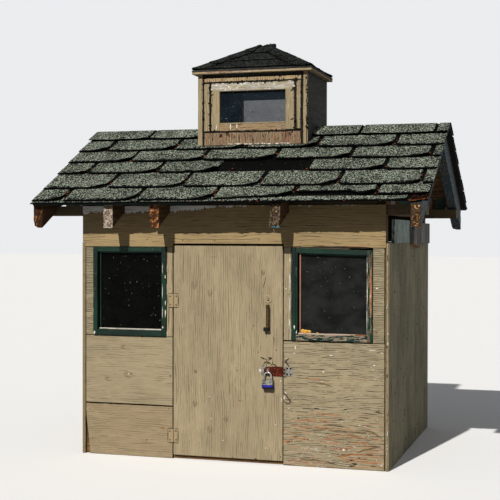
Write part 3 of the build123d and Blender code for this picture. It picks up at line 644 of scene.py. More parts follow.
# the posts' timber is darker than the frame's: painted shade where a corner post shows in the gap behind the
# bottom-left panel
upright_timber = bare_wood("upright_timber", "z", (120, 92, 64), (84, 60, 40), seed=37, crevice=0.3)
rafter_timber = bare_wood("rafter_timber", "y", (104, 78, 54), (70, 50, 34), seed=39, crevice=0.4, scale=0.8)
plate_paint = painted_wood("plate_paint", "x", (112, 98, 74), bare=0.28, seed=41, wood=(104, 80, 56))
soffit_paint = painted_wood(
    "soffit_paint", "x", (20, 40, 32), wood=(70, 52, 38), dark=(40, 30, 22), under=(50, 62, 54), bare=0.24, seed=43,
    rough=0.6,
)
barge_paint = painted_wood(
    "barge_paint", "y", (80, 95, 102), wood=(112, 108, 102), dark=(40, 38, 36), under=(166, 174, 176), bare=0.42,
    seed=45, grain=0.8, rough=0.7, fine=0.9, streak=0.9,
)
green_paint = painted_wood(
    "green_paint", "z", (17, 41, 31), **GREEN_WOOD, bare=0.25,
    seed=47, rough=0.5, tone=(0.6, 1.5), grain=0.7, gloss=0.18, spots=0.03,
)
green_rail = painted_wood(
    "green_rail_paint", "x", (17, 39, 30), **GREEN_WOOD, bare=0.26,
    seed=49, rough=0.5, tone=(0.6, 1.6), grain=0.8, gloss=0.18, spots=0.035,
)
green_peeled = painted_wood(
    "green_peeled_paint", "x", (20, 46, 36), wood=(178, 160, 136), dark=(112, 84, 62), under=(206, 196, 180),
    bare=0.46,
    seed=51, rough=0.6, tone=(0.7, 1.2), grain=0.6, fine=1.5,
)
green_bare = painted_wood(
    "green_bare_paint", "z", (22, 50, 39), wood=(132, 96, 66), dark=(62, 44, 32), under=(160, 156, 142), bare=0.47,
    seed=53, rough=0.65, tone=(0.7, 1.2), grain=0.6, fine=1.4,
)
white_bead = painted_wood(
    "white_bead", "x", (214, 208, 194), wood=(120, 100, 84), under=(160, 152, 140), bare=0.34, seed=55
)
pink_bead = painted_wood(
    "pink_bead", "z", (166, 118, 98), wood=(140, 70, 48), under=(200, 170, 150), bare=0.36, seed=57
)
pink_rail_bead = painted_wood(
    "pink_rail_bead", "x", (206, 184, 164), wood=(170, 104, 72), under=(224, 214, 200), bare=0.40, seed=58
)
grey_bead = painted_wood(
    "grey_bead", "z", (120, 130, 122), wood=(60, 72, 60), under=(190, 190, 180), bare=0.46, seed=60
)
pale_green = painted_wood(
    "pale_green_paint", "z", (214, 234, 224), wood=(104, 92, 78), dark=(36, 30, 26), under=(214, 220, 210), bare=0.38,
    seed=59, grain=1.0, rough=0.75, strong=0.2, count=80.0, width=0.0035, keep=(0.40, 0.52), fine=1.2,
)
grey_timber = bare_wood(
    "grey_timber", "z", (196, 192, 186), (84, 80, 76), crack=(10, 9, 8), seed=61, crevice=1.0, scale=0.7,
    grey=(126, 120, 116),
)
cupola_tan = painted_wood(
    "cupola_tan", "z", (164, 148, 116), wood=(168, 132, 94), dark=(112, 86, 60), bare=0.33, seed=65, grain=0.8
)
cupola_head = painted_wood(
    "cupola_head", "z", (178, 154, 116), wood=(182, 132, 88), dark=(120, 84, 56), bare=0.40, seed=67, grain=0.8,
    fine=1.2, keep=(0.38, 0.5),
)
cupola_panel = painted_wood(
    "cupola_panel", "z", (156, 134, 104), wood=(160, 122, 96), dark=(112, 84, 66), bare=0.44, seed=69, grain=0.85,
    fine=1.3, under=(176, 156, 132), strong=0.2, keep=(0.32, 0.46), width=0.0022, count=110.0,
)
cupola_peeled = painted_wood(
    "cupola_peeled", "x", (170, 158, 132), wood=(206, 202, 192), dark=(150, 140, 120), under=(226, 222, 214),
    bare=0.50, seed=71, grain=0.6,
)
cupola_brown = painted_wood(
    "cupola_brown", "x", (156, 130, 96), wood=(132, 96, 70), dark=(84, 60, 46), under=(190, 176, 156), bare=0.47,
    seed=73, grain=0.7,
)
cupola_fascia = painted_wood(
    "cupola_fascia", "x", (174, 154, 122), wood=(176, 124, 84), dark=(110, 76, 54), under=(222, 206, 192), bare=0.42,
    seed=75, grain=0.8,
)
cupola_side = painted_wood(
    "cupola_side", "y", (58, 58, 55), wood=(44, 39, 34), dark=(20, 18, 16), under=(96, 96, 92), bare=0.27, seed=77,
    grain=1.0, strong=0.2, warp=5.0, tone=(0.7, 1.2), width=0.0024, spots=0.02,
)
# near-black: the cupola's walls where they show between its trim boards, strokes along those gaps, and the front
# deck's edge right of x = -120
near_black = plain("near_black", (20, 18, 16), (34, 30, 26), 120.0, 79, (0.7, 0.9))
# the back deck's underside is near-black beyond 742.5 mm either side of the middle, outside the barges
soffit_ply = bare_wood(
    "soffit_ply", "x", (206, 166, 122), (112, 84, 60), seed=81, crevice=0.3, scale=0.45, black_beyond=0.7425
)
gable_ply = bare_wood("gable_ply", "x", (200, 152, 106), (116, 84, 58), seed=83, crevice=0.25, scale=0.6)
roof_granules = granules("roof_granules", (55, 61, 52), (160, 168, 152), (4, 5, 4), seed=85)
dark_granules = granules("dark_granules", (9, 10, 9), (54, 57, 53), (1, 1, 1), seed=87, grain=(140.0, 115.0, 115.0))
# the shingles' black felt core and undersides, and the layer under the tabs, whose black in the slots is painted
# shade
felt_and_shade = asphalt("felt_and_shade", 89)
litter = plain("litter", (172, 92, 46), (96, 54, 32), 200.0, 91)
rust = rusty("rust", (124, 48, 26), (66, 26, 15), (20, 10, 8), 93)
lock_rust = steel("shackle_steel", (176, 176, 172), (110, 108, 102), 95, rust=0.02)
zinc = steel("zinc", (158, 157, 150), (96, 92, 84), 97, metal=0.7, rust=0.05)
hinge_paint = rusty("hinge_paint", (128, 70, 40), (104, 56, 32), (60, 34, 22), 99, paint=(166, 147, 114), cover=0.7)
handle_metal = rusty("handle_metal", (118, 90, 50), (94, 68, 38), (46, 32, 20), 101)
# black: the padlock's own black base, and painted shadow on the pull handle
black_metal_and_shade = plain("black_metal_and_shade", (18, 17, 15), (34, 30, 26), 150.0, 103, (0.5, 0.8))
screw_dark = plain("screw_dark", (22, 20, 18), (40, 34, 28), 200.0, 105, (0.45, 0.7))
screw_rust = plain("screw_rust", (120, 62, 34), (70, 36, 22), 200.0, 107, (0.7, 0.9))
orange_wood = plain("orange_wood", (172, 124, 88), (140, 94, 64), 90.0, 109, stretch=(20.0, 120.0, 120.0))
chip_orange = plain("chip_orange", (226, 136, 72), (170, 84, 44), 90.0, 110)
white_chip = plain("white_chip", (232, 228, 218), (200, 192, 178), 120.0, 111)
dark_mark = plain("dark_mark", (34, 27, 20), (56, 44, 32), 160.0, 113)
side_fleck = plain("side_fleck", (92, 90, 82), (76, 74, 68), 160.0, 116)
soft_mark = plain("soft_mark", (118, 100, 74), (98, 82, 60), 160.0, 115)
blue_band = plain("blue_band", (34, 34, 140), (52, 54, 164), 90.0, 117, (0.35, 0.55), 0.0002)
yellow_band = plain("yellow_band", (190, 182, 140), (150, 140, 100), 90.0, 119)
foam = plain("foam", (226, 178, 84), (196, 140, 56), 120.0, 121, (0.6, 0.8), 0.001)
teal_paint = painted_wood("teal_paint", "x", (96, 124, 118), wood=(96, 84, 70), bare=0.3, seed=123)
pink_paint = painted_wood("pink_paint", "x", (214, 204, 200), wood=(140, 124, 114), bare=0.3, seed=125)
# the near-black, nearly opaque window panes are painted shade for the dark room behind them
window_glass = glass("window_glass", (42, 43, 41), 0.95, seed=127, haze=(0.12, 0.92), specks=0.724)
# the cupola panes' blue-grey tint and film are painted sky light, laid on in dust-like patches
cupola_glass = glass("cupola_glass", (92, 112, 128), 0.38, (18, 25, 31), seed=131, haze=(0.10, 0.16), specks=0.73)


# ---------------------------------------------------------------- front wall
def sheet_piece(name, boxes, material, replaced, seed, wear=0.8, bend=None):
    """Wall sheets on one face as one piece, with their cut edges in their own finish."""
    shape = Shape()
    for number, (low, high) in enumerate(boxes):
        points, faces = block(low, high, 14.0, wear, seed + number, bend=bend)
        shape.add(points, faces, edge_kinds(points, faces, 1))
    shape.piece(name, "root", [material, cut_edge], replaced)


def panel(x0, x1, z0, z1):
    """Box of a sheet on the front of the frame."""
    return (x0, FRONT, z0), (x1, FRAME_FRONT, z1)


LOW_NOTCH, NOTCH_HALF = 946.0, 20
TOP_STEP = SIDE_SHEET_TOP + 0.5


def outline_sheet(name, xs, zs, keep, y0, y1, material, replaced, seed):
    """A sheet in an upright plane with notches in its outline and bevelled edges."""
    def surface(depth):
        def place(x, z):
            points = np.stack([x, np.full(len(x), depth), z], -1)
            points[:, 0] += field(points * ALONG_XZ, 30, seed) * 0.3
            return points
        return place

    points, faces, kinds = plate(xs, zs, surface(y0), surface(y1), keep)
    shape = Shape()
    shape.add(points, faces[:, ::-1], np.where(kinds == 2, 1, 0))
    thing = shape.piece(name, "root", [material, cut_edge], replaced)
    bevel = thing.modifiers.new("worn_edge", "BEVEL")
    bevel.width, bevel.segments = 0.0008, 1
    bevel.limit_method, bevel.angle_limit = "ANGLE", math.radians(50)


def grid(stops, cell):
    """Places about a cell apart that pass through every stop."""
    places = [stops[0]]
    for a, b in zip(stops, stops[1:]):
        count = max(1, int(round((b - a) / cell)))
        places.extend(a + (b - a) * (i + 1) / count for i in range(count))
    return np.array(places)


def back_top_keep(x, z):
    """Leave out the notches for the rafter tails."""
    out = np.zeros(x.shape, bool)
    for line in RAFTERS:
        out |= (np.abs(x - line) < NOTCH_HALF) & (z > LOW_NOTCH)
    return ~out


def top_keep(x, z):
    """Leave out the doorway's notch too, and the step over the left side sheet."""
    out = (z < DOORWAY_TOP) & (x > DOORWAY_LEFT) & (x < DOORWAY_RIGHT)
    out |= (z < TOP_STEP) & (x < -FRAME_SIDE)
    return back_top_keep(x, z) & ~out


notch_stops = [v for line in RAFTERS for v in (line - NOTCH_HALF, line + NOTCH_HALF)]
notch_stops = sorted(notch_stops + [DOORWAY_LEFT, DOORWAY_RIGHT])
top_xs = grid([-SIDE + 1.5, -FRAME_SIDE] + notch_stops + [FRAME_SIDE], 14)
top_zs = grid([816.0, DOORWAY_TOP, TOP_STEP, LOW_NOTCH, PLATE_TOP], 12)
outline_sheet("front_top_sheet", top_xs, top_zs, top_keep, FRONT, FRAME_FRONT, top_paint, ["front_top_panel"], 3)
back_zs = grid([SIDE_SHEET_TOP, LOW_NOTCH, PLATE_TOP], 12)
outline_sheet(
    "back_top_sheet", top_xs, back_zs, back_top_keep, -FRAME_FRONT, -FRONT, back_paint, ["back_top_panel"], 5
)
back_box = ((-FRAME_SIDE, -FRAME_FRONT, 0), (FRAME_SIDE, -FRONT, 831.0))
sheet_piece("back_sheet", [back_box], back_paint, ["back_wall"], seed=7)

sheet_piece(
    "stile_sheets",
    [panel(-FRAME_SIDE + 3.4, -562.5, 470.0, 813.5), panel(550.6, FRAME_SIDE - 4.6, 467.0, 814.5)],
    stile_paint, ["front_stiles"], seed=11,
)
sheet_piece(
    "jamb_sheets",
    [panel(-254.0, DOORWAY_LEFT - 1.6, 469.0, 815.0), panel(DOORWAY_RIGHT + 1.0, 241.6, 469.0, 815.0)],
    upright_paint, ["front_jambs"], seed=13,
)


def mid_bend(points):
    """The middle panel's lower edge runs a little out of level."""
    points = points.copy()
    low = ease((330 - points[:, 2]) / 130)
    points[:, 2] += low * (2.0 + 2.0 * field(points * np.array([1, 0, 0]), 120, 5)) * (1 - points[:, 0] / 600) * 0.4
    return points


def bottom_bend(points):
    """The bottom panel has pulled away from the side sheet towards the ground."""
    points = points.copy()
    pull = ease((200 - points[:, 2]) / 200) ** 1.3
    near = ease((-450 - points[:, 0]) / 147)
    points[:, 0] += pull * near * 16
    return points


sheet_piece(
    "left_mid_sheet", [panel(-FRAME_SIDE + 3.4, DOORWAY_LEFT - 1.2, 201.5, 467.0)], front_paint,
    ["front_left_mid_panel"], seed=17, bend=mid_bend,
)
sheet_piece(
    "left_bottom_sheet", [panel(-FRAME_SIDE + 3.4, DOORWAY_LEFT - 1.2, 0.0, 198.0)], low_paint,
    ["front_left_bottom_panel"], seed=19, bend=bottom_bend,
)
sheet_piece(
    "right_lower_sheet", [panel(DOORWAY_RIGHT + 0.6, FRAME_SIDE - 3.6, 0.0, 464.6)], worn_paint,
    ["front_right_lower_panel"], seed=23, wear=1.1,
)


def side_sheet(name, side, replaced, seed):
    """A side sheet, its cut edge showing at the front."""
    low, high = sorted((side * FRAME_SIDE, side * SIDE))
    shape = Shape()
    points, faces = block((low, FRONT, 0.0), (high, -FRONT, SIDE_SHEET_TOP), 18.0, 0.9, seed, chips=4.0)
    shape.add(points, faces, edge_kinds(points, faces, 0))
    edge = edge_paint if side > 0 else left_edge
    shape.piece(name, "root", [side_paint, edge], replaced)


side_sheet("side_sheet_right", 1, ["side_wall_right"], 31)
side_sheet("side_sheet_left", -1, ["side_wall_left"], 37)

# ---------------------------------------------------------------- door
shape = Shape()
points, faces = block((DOOR_LEFT, FRONT, DOOR_LOW), (DOOR_RIGHT, FRONT + 12.2, DOOR_HIGH), 14.0, 0.9, 41)
shape.add(points, faces, edge_kinds(points, faces, 1))
shape.piece("door_sheet", "door", [door_paint, cut_edge], ["door_panel"])

# ---------------------------------------------------------------- marks on the sheets
MARKS = [screw_rust, screw_dark, orange_wood, white_chip, dark_mark, soft_mark]
RUST_NAIL, DARK_NAIL, ORANGE, WHITE, DARK, SOFT = range(6)


def arc(x, z, radius_x, radius_z, start, end, count=9):
    """Places along an arc, its angles in degrees."""
    turn = np.radians(np.linspace(start, end, count))
    return np.stack([x + radius_x * np.cos(turn), z + radius_z * np.sin(turn)], -1)


def spots(shape, table, first):
    """Nail heads, chips and dark spots from a table."""
    for number, (x, z, width, height, kind) in enumerate(table, first):
        spot(shape, x, z, width, height, number, kind, rag=0.2 if kind < ORANGE else 0.45, thick=0.5)


def knots(shape, places, first, wide, high, start, end, width):
    """Three broken rings round each knot, their start and end angles and how far these turn."""
    for x, z, size in places:
        for ring in range(3):
            reach = size * (first + 0.33 * ring)
            path = arc(x, z, reach * wide, reach * high, start[0] + start[1] * ring, end[0] + end[1] * ring)
            stroke(shape, path, width, SOFT)


def leaf_lines(shape, upright, level):
    """The dark line round the outer edges of the two hinge leaves."""
    for low, high in ((583, 635), (61, 113)):
        stroke(shape, list(zip(upright, (low, (low + high) / 2, high))), 2.6, DARK)
        for edge, away in ((high, 1), (low, -1)):
            path = [(level[0], edge + away), (level[1], edge + 1.4 * away), (level[2], edge + away)]
            stroke(shape, path, 2.4, DARK)


def turned(shape, marks):
    """Add marks made for the front to the left side."""
    points = marks.points[0]
    shape.add(np.stack([-points[:, 1], points[:, 0], points[:, 2]], -1), marks.faces, marks.kinds[0])


wall_marks = Shape()
wall_spots = [
    (-184, 841, 6, 6, RUST_NAIL), (-55, 840, 5, 5, RUST_NAIL), (123, 845, 4, 5, DARK_NAIL),
    (-329, 844, 5, 4, DARK_NAIL), (284, 831, 5, 4, RUST_NAIL), (539, 830, 5, 4, RUST_NAIL),
    (-234, 655, 4, 4, RUST_NAIL), (-572, 463, 4, 4, DARK_NAIL), (-573, 175, 4, 4, DARK_NAIL),
    (-407, 320, 9, 5, WHITE), (-396, 319, 6, 6, DARK), (-265, 115, 20, 8, ORANGE), (-331, 65, 6, 5, DARK),
    (-233, 318, 7, 3, DARK), (-350, 464, 4, 4, DARK_NAIL), (-470, 466, 4, 3, DARK_NAIL), (571, 668, 9, 5, WHITE),
    (569, 507, 6, 5, RUST_NAIL), (228, 662, 6, 5, WHITE), (233, 590, 5, 4, ORANGE), (236, 640, 4, 4, DARK_NAIL),
    (225, 560, 4, 4, RUST_NAIL), (264, 442, 5, 16, WHITE), (400, 417, 12, 5, WHITE), (372, 355, 11, 5, WHITE),
    (562, 386, 10, 6, WHITE), (591, 431, 5, 6, WHITE), (449, 69, 14, 8, WHITE), (276, 179, 8, 6, DARK),
    (253, 174, 4, 4, DARK), (578, 223, 4, 4, DARK_NAIL), (576, 124, 5, 4, RUST_NAIL), (515, 226, 6, 6, SOFT),
    (329, 211, 7, 3, ORANGE), (252, 230, 6, 3, ORANGE), (428, 334, 12, 4, ORANGE), (392, 313, 18, 3, ORANGE),
    (401, 103, 26, 3, ORANGE), (370, 95, 30, 3, ORANGE), (470, 130, 34, 3, ORANGE), (520, 95, 40, 4, ORANGE),
    (300, 110, 22, 3, ORANGE), (455, 48, 44, 4, ORANGE), (545, 60, 36, 5, ORANGE), (340, 150, 30, 2.5, ORANGE),
    (502, 333, 26, 3, ORANGE), (260, 421, 8, 3, WHITE), (420, 432, 6, 3, WHITE), (555, 440, 24, 3, WHITE),
    (576, 433, 12, 3, DARK), (262, 300, 22, 2.5, ORANGE), (586, 330, 3, 12, ORANGE), (-590, 560, 3, 3, DARK_NAIL),
    (-590, 700, 3, 3, DARK_NAIL), (575, 700, 4, 4, SOFT), (-560, 60, 5, 4, DARK_NAIL), (-240, 190, 4, 4, DARK_NAIL),
    (242, 247, 4, 9, DARK), (246, 240, 7, 5, DARK), (238, 399, 4, 3, DARK), (590, 20, 5, 8, WHITE),
    (560, 15, 20, 4, DARK), (480, 12, 26, 4, DARK),
]
spots(wall_marks, wall_spots, 0)
knots(wall_marks, ((-426, 424, 11), (-492, 298, 12), (-407, 318, 16)), 0.35, 1.25, 0.75, (20, 40), (250, 50), 1.5)
for line, width in (
    ([(222, 395), (228, 387), (236, 376), (243, 367)], 5.0), ([(224, 384), (232, 394), (240, 401)], 4.6),
    ([(220, 270), (229, 263), (235, 254), (243, 243)], 4.6), (arc(236, 245, 14, 14, 190, 330), 3.0),
    ([(241, 240), (250, 252)], 5.0),
):
    stroke(wall_marks, line, width, DARK)
spot(wall_marks, 221, 254, 5, 18, 640, WHITE, thick=0.4, rag=0.5)
spot(wall_marks, 228, 272, 6, 5, 641, WHITE, thick=0.4, rag=0.5)
rng = np.random.default_rng(51)
for number in range(26):
    z = rng.uniform(20, 800)
    kind = (WHITE, ORANGE, DARK)[number % 3]
    spot(
        wall_marks, rng.uniform(607, 612.5), z, rng.uniform(2.0, 3.5), rng.uniform(6, 20), number + 400, kind,
        thick=0.4, rag=0.5,
    )
for number in range(46):
    spot(
        wall_marks, rng.uniform(228, 596), rng.uniform(15, 455), rng.uniform(3, 7), rng.uniform(2, 3.6), number + 450,
        WHITE, thick=0.3, rag=0.5,
    )
for number in range(30):
    spot(
        wall_marks, rng.uniform(232, 590), rng.uniform(10, 230), rng.uniform(10, 30), rng.uniform(2.2, 4.2),
        number + 500, (ORANGE, SOFT, DARK)[number % 3], thick=0.3, rag=0.5,
    )
# a dark stroke along the gap over the right window: painted shade in the gap
stroke(wall_marks, [(254 + 24 * i, 818.4 - 0.35 * i + 0.7 * math.sin(i * 2.1)) for i in range(13)], 4.6, DARK)
stroke(wall_marks, [(450 + 12 * i, 821.5 - 0.5 * i) for i in range(8)], 4.4, ORANGE)
leaf_lines(wall_marks, (-243.5, -243.8, -243.4), (-243, -232, -221.5))
# the gap over the right window, darkened by strokes as painted shade in it, and the bare strip down its right stile
stroke(
    wall_marks, [(330 + 24 * i, 819.2 - 0.35 * i + 0.5 * math.sin(i * 1.7)) for i in range(10)], 6.5, DARK, thick=0.5
)
stroke(wall_marks, [(549.5 + 0.8 * math.sin(i * 1.3), 560 + 17 * i) for i in range(12)], 8.5, ORANGE, face=PROUD)
stroke(wall_marks, [(551.5, 500), (550, 512), (551.5, 526), (550, 540)], 6.0, SOFT, face=PROUD)
# long bare streaks of the right lower panel, as places in an enlarged view of it, across and down
VIEW_LEFT, VIEW_ACROSS, VIEW_TOP, VIEW_DOWN = 220, 0.591, 945, 0.572
for number, line in enumerate((
    [(40, 685), (140, 690), (300, 688), (460, 690)], [(130, 715), (260, 700), (420, 705), (600, 712)],
    [(230, 770), (330, 745), (470, 735), (600, 745)], [(250, 790), (400, 775), (520, 770), (615, 790)],
    [(300, 850), (400, 855), (500, 820), (560, 800), (615, 790)],
    [(150, 800), (260, 840), (380, 880), (500, 895), (615, 900)], [(290, 575), (340, 615), (420, 655)],
    [(180, 395), (240, 400), (300, 415)], [(320, 372), (380, 380)], [(120, 370), (250, 372)],
    [(440, 862), (520, 850), (600, 868)], [(450, 905), (560, 885), (615, 897)], [(60, 650), (180, 640), (300, 648)],
    [(340, 640), (460, 655), (560, 665)], [(270, 740), (340, 728), (410, 735)], [(30, 760), (130, 765), (240, 800)],
    [(90, 905), (200, 900), (320, 915)], [(470, 315), (530, 318), (600, 312)], [(200, 590), (320, 600), (380, 596)],
    [(480, 690), (560, 700), (618, 735)], [(360, 870), (430, 850), (500, 845)], [(380, 905), (450, 880), (530, 868)],
    [(240, 670), (330, 668), (430, 672)], [(300, 815), (380, 822), (440, 800)],
)):
    path_now = []
    for (x0, y0), (x1, y1) in zip(line, line[1:]):
        for t in np.linspace(0, 1, max(3, int(abs(x1 - x0) / 16))):
            x, z = x0 + (x1 - x0) * t, y0 + (y1 - y0) * t + rng.uniform(-2.5, 2.5)
            path_now.append((VIEW_LEFT + x * VIEW_ACROSS - MARKS_FROM, (VIEW_TOP - z) * VIEW_DOWN))
    path_now = [p for i, p in enumerate(path_now) if i == 0 or p[0] - path_now[i - 1][0] > 2]
    for part in range(0, len(path_now) - 3, 8):
        if rng.uniform() < 0.85:
            stroke(
                wall_marks, path_now[part:part + 8], rng.uniform(3.6, 6.0), ORANGE if number % 3 != 1 else SOFT,
                thick=0.25,
            )
wall_marks.piece("wall_marks", "root", MARKS)

side_marks = Shape()
for number in range(70):
    local = Shape()
    y, z = rng.uniform(-490, 490), rng.uniform(30, 810)
    nail = number % 3 == 0
    size = (15.0, 7.0) if nail else (rng.uniform(12, 30), rng.uniform(5, 14))
    kind = DARK if nail or number % 3 == 1 else SOFT
    spot(local, y - MARKS_FROM, z, size[0], size[1], number + 560, kind, face=-SIDE, thick=0.4, rag=0.4)
    turned(side_marks, local)
side_marks.piece("side_marks", "root", MARKS)

door_marks = Shape()
door_spots = [
    (-70, 776, 6, 4, ORANGE), (-74, 245, 5, 6, WHITE), (-67, 160, 5, 6, WHITE), (48, 235, 16, 7, ORANGE),
    (36, 348, 5, 5, RUST_NAIL), (32, 358, 4, 3, DARK_NAIL), (189, 150, 4, 4, WHITE), (170, 399, 7, 7, DARK),
    (152, 392, 6, 6, DARK), (184, 376, 6, 5, DARK), (176, 384, 4, 6, DARK), (-130, 560, 4, 3, SOFT),
    (60, 470, 3, 6, SOFT), (100, 520, 3, 7, SOFT), (200, 300, 4, 3, ORANGE), (-205, 500, 3, 3, SOFT),
    (120, 420, 3, 9, SOFT), (190, 430, 3, 8, DARK), (-20, 80, 4, 5, WHITE), (150, 60, 5, 6, WHITE),
    (208, 30, 4, 8, SOFT), (-180, 30, 5, 4, SOFT), (110, 17, 16, 3, DARK), (20, 17, 12, 3, SOFT),
    (126, 352, 8, 12, WHITE), (207, 315, 3, 10, WHITE), (211, 245, 4, 16, WHITE),
]
spots(door_marks, door_spots, 90)
door_knots = (
    (-137, 677, 18), (-73, 645, 15), (138, 723, 11), (-131, 341, 8), (-134, 219, 13), (-9, 165, 14), (-74, 123, 15)
)
knots(door_marks, door_knots, 0.3, 0.62, 1.2, (60, 55), (330, 45), 1.6)
for line, width, kind in (
    ([(149, 706), (147, 690), (142, 676), (138, 662)], 2.2, DARK), ([(-66, 778), (-55, 779), (-44, 775)], 1.6, SOFT),
    ([(136, 401), (145, 396), (153, 391)], 2.6, DARK), ([(164, 404), (170, 399), (160, 396)], 2.6, DARK),
    ([(150, 372), (154, 378), (161, 381), (169, 378), (173, 373)], 3.0, DARK),
    ([(153, 500), (152, 488), (153, 476)], 2.0, DARK), ([(178, 480), (181, 470), (180, 460)], 2.2, DARK),
):
    stroke(door_marks, line, width, kind)
for x, z, length in (
    (-60, 560, 90), (20, 430, 120), (55, 640, 80), (92, 450, 110), (130, 580, 70), (-160, 300, 100), (70, 260, 130),
    (5, 300, 90), (150, 250, 80), (120, 140, 90), (-100, 430, 70), (180, 560, 90),
):
    stroke(door_marks, [(x + 1.5 * math.sin(i), z + length * i / 7 - length / 2) for i in range(8)], 1.3, SOFT)
leaf_lines(door_marks, (-200.5, -200.2, -200.6), (-218, -209, -201))
for path in (
    [(128, 402), (136, 399), (143, 394)], [(160, 391), (168, 396), (175, 402)], [(156, 399), (165, 401), (174, 400)],
    [(140, 376), (147, 383), (156, 385), (166, 382)], [(170, 372), (176, 379), (184, 373)],
    [(132, 362), (137, 368), (143, 372)], [(183, 377), (188, 372), (192, 366)],
):
    stroke(door_marks, path, 4.6, DARK)
door_chips = ((128, 350, 9, 14), (134, 366, 6, 5), (150, 391, 5, 4), (179, 366, 5, 4))
for number, (x, z, width, height) in enumerate(door_chips):
    spot(door_marks, x, z, width, height, number + 620, WHITE, thick=0.4, rag=0.5)
door_marks.piece("door_marks", "door", MARKS)

# ---------------------------------------------------------------- windows
def window(name, x0, x1, z0, z1, slant, materials, seed):
    """Members of a window's frame: stiles, rails and beads, as blocks with chipped edges."""
    shape = Shape()
    side, top, bottom, depth = 18.0, 19.0, 23.0, 40.0
    back = PROUD + depth

    def lean(points):
        points = points.copy()
        points[:, 2] -= slant * (points[:, 0] - x0) / (x1 - x0) * ease((points[:, 2] - z0 - 200) / 146)
        return points

    members = [
        ((x0, PROUD, z0), (x0 + side, back, z1), 0),
        ((x1 - side, PROUD + 0.6, z0), (x1, back, z1), 1),
        ((x0 + side, PROUD + 0.8, z1 - top), (x1 - side, back, z1), 2),
        ((x0 + side, PROUD + 0.5, z0), (x1 - side, back, z0 + bottom), 3),
    ]
    for number, (low, high, kind) in enumerate(members):
        shape.board(low, high, 9.0, 1.3, seed + number, kind, edge=1.6, chips=2.6, bend=lean)
    face = FRONT + PANE_DEPTH
    bead, bead_back = 5.0, face - 0.3
    shift = 12.0 if slant else 7.0
    if slant:
        low = (x0 + side - 1, PROUD + 0.4, z0 + bottom - 2)
        high = (x0 + side + 6.5, bead_back, z1 - top + 1)
        shape.board(low, high, 9.0, 1.2, seed + 8, edge=1.4, bend=lean)
    beads = [
        ((x0 + side + shift, face - 7, z0 + bottom), (x0 + side + shift + 5.0, bead_back, z1 - top), 4),
        ((x1 - side - bead, face - 7, z0 + bottom), (x1 - side, bead_back, z1 - top), 5),
        ((x0 + side + bead, face - 6, z1 - top - bead), (x1 - side - bead, bead_back, z1 - top), 2),
        ((x0 + side + bead, face - 8, z0 + bottom), (x1 - side - bead, bead_back, z0 + bottom + bead), 6),
    ]
    for number, (low, high, kind) in enumerate(beads):
        shape.board(low, high, 7.0, 0.9, seed + 10 + number, kind, edge=0.8, bend=lean)
    shape.piece(name, "root", materials, ["window_frames"])


window(
    "left_window", -561.0, -255.0, WINDOW_LOW, WINDOW_HIGH, 0.0,
    [green_paint, green_paint, green_rail, green_rail, green_paint, green_paint, white_bead], 51,
)
window(
    "right_window", 243.0, 549.0, WINDOW_LOW, WINDOW_HIGH, 9.0,
    [green_paint, green_bare, green_rail, green_peeled, pink_bead, grey_bead, pink_rail_bead], 71,
)

caulk = Shape()
for number, (x, z, width, height) in enumerate((
    (-556.5, 640, 3, 70), (-556.5, 560, 3.5, 60), (-556, 500, 3, 40), (-549, 478, 8, 12), (248.5, 700, 3.2, 60),
    (248.5, 640, 3.5, 50), (248.5, 560, 3.6, 70), (248.5, 500, 3.2, 40), (248.5, 762, 2.4, 30), (-252, 700, 5, 12),
    (-251, 560, 5, 30), (-251, 600, 3, 20), (-248, 480, 3, 30), (-248.5, 650, 3, 44), (-248.5, 735, 3, 30),
    (-263, 640, 2.6, 60), (-263, 560, 2.6, 50), (-263, 730, 2.4, 40), (-556, 760, 3, 30), (242, 690, 3.4, 70),
    (242.5, 600, 3.4, 60), (242, 530, 3, 40), (242.5, 770, 3, 24), (537, 650, 2.6, 90), (536, 560, 2.4, 60),
    (536.5, 740, 2.4, 50), (-262, 505, 6, 8), (262, 520, 5, 18), (270, 500, 4, 14), (549, 640, 3, 12),
)):
    spot(
        caulk, x, z, width, height, number + 200, 0, face=PROUD if 249.5 < abs(x) < 555 else FRONT, thick=0.6,
        rag=0.6, sides=17,
    )
caulk.piece("window_caulk", "root", [white_chip])


def tube(rings, sides):
    """Quads between rings of points that follow each other."""
    return [
        [a * sides + i, (a + 1) * sides + i, (a + 1) * sides + (i + 1) % sides, a * sides + (i + 1) % sides]
        for a in range(rings - 1) for i in range(sides)
    ]


blob = Shape()
around = np.arange(12) * math.pi / 6
lumps = ((292, 503, 8, 1.2), (304, 502, 8.5, 1.3), (316, 502, 6, 1.4), (347, 497, 3.4, 1.3))
for number, (x, z, size, stretch) in enumerate(lumps):
    rings = []
    for t in np.linspace(0, math.pi, 9):
        ring = [np.sin(t) * np.cos(around) * stretch, np.sin(t) * np.sin(around) * 0.7, np.full(12, np.cos(t))]
        rings.append(np.stack(ring, -1))
    ball = np.vstack(rings) * size
    ball *= (1 + 0.22 * field(ball, 5, number + 5))[:, None]
    ball += np.array([x + MARKS_FROM, FRONT + 5, z])
    blob.add(ball, tube(9, 12))
blob.piece("foam_lump", "root", [foam], smooth=60)


# ---------------------------------------------------------------- rafters
END_DEPTH = 7.0  # quads nearer to the end of a tail than this count as its end


def rafter_top(y):
    """Height of a rafter's upper edge at a place before the ridge."""
    return RIDGE + y * SLOPE


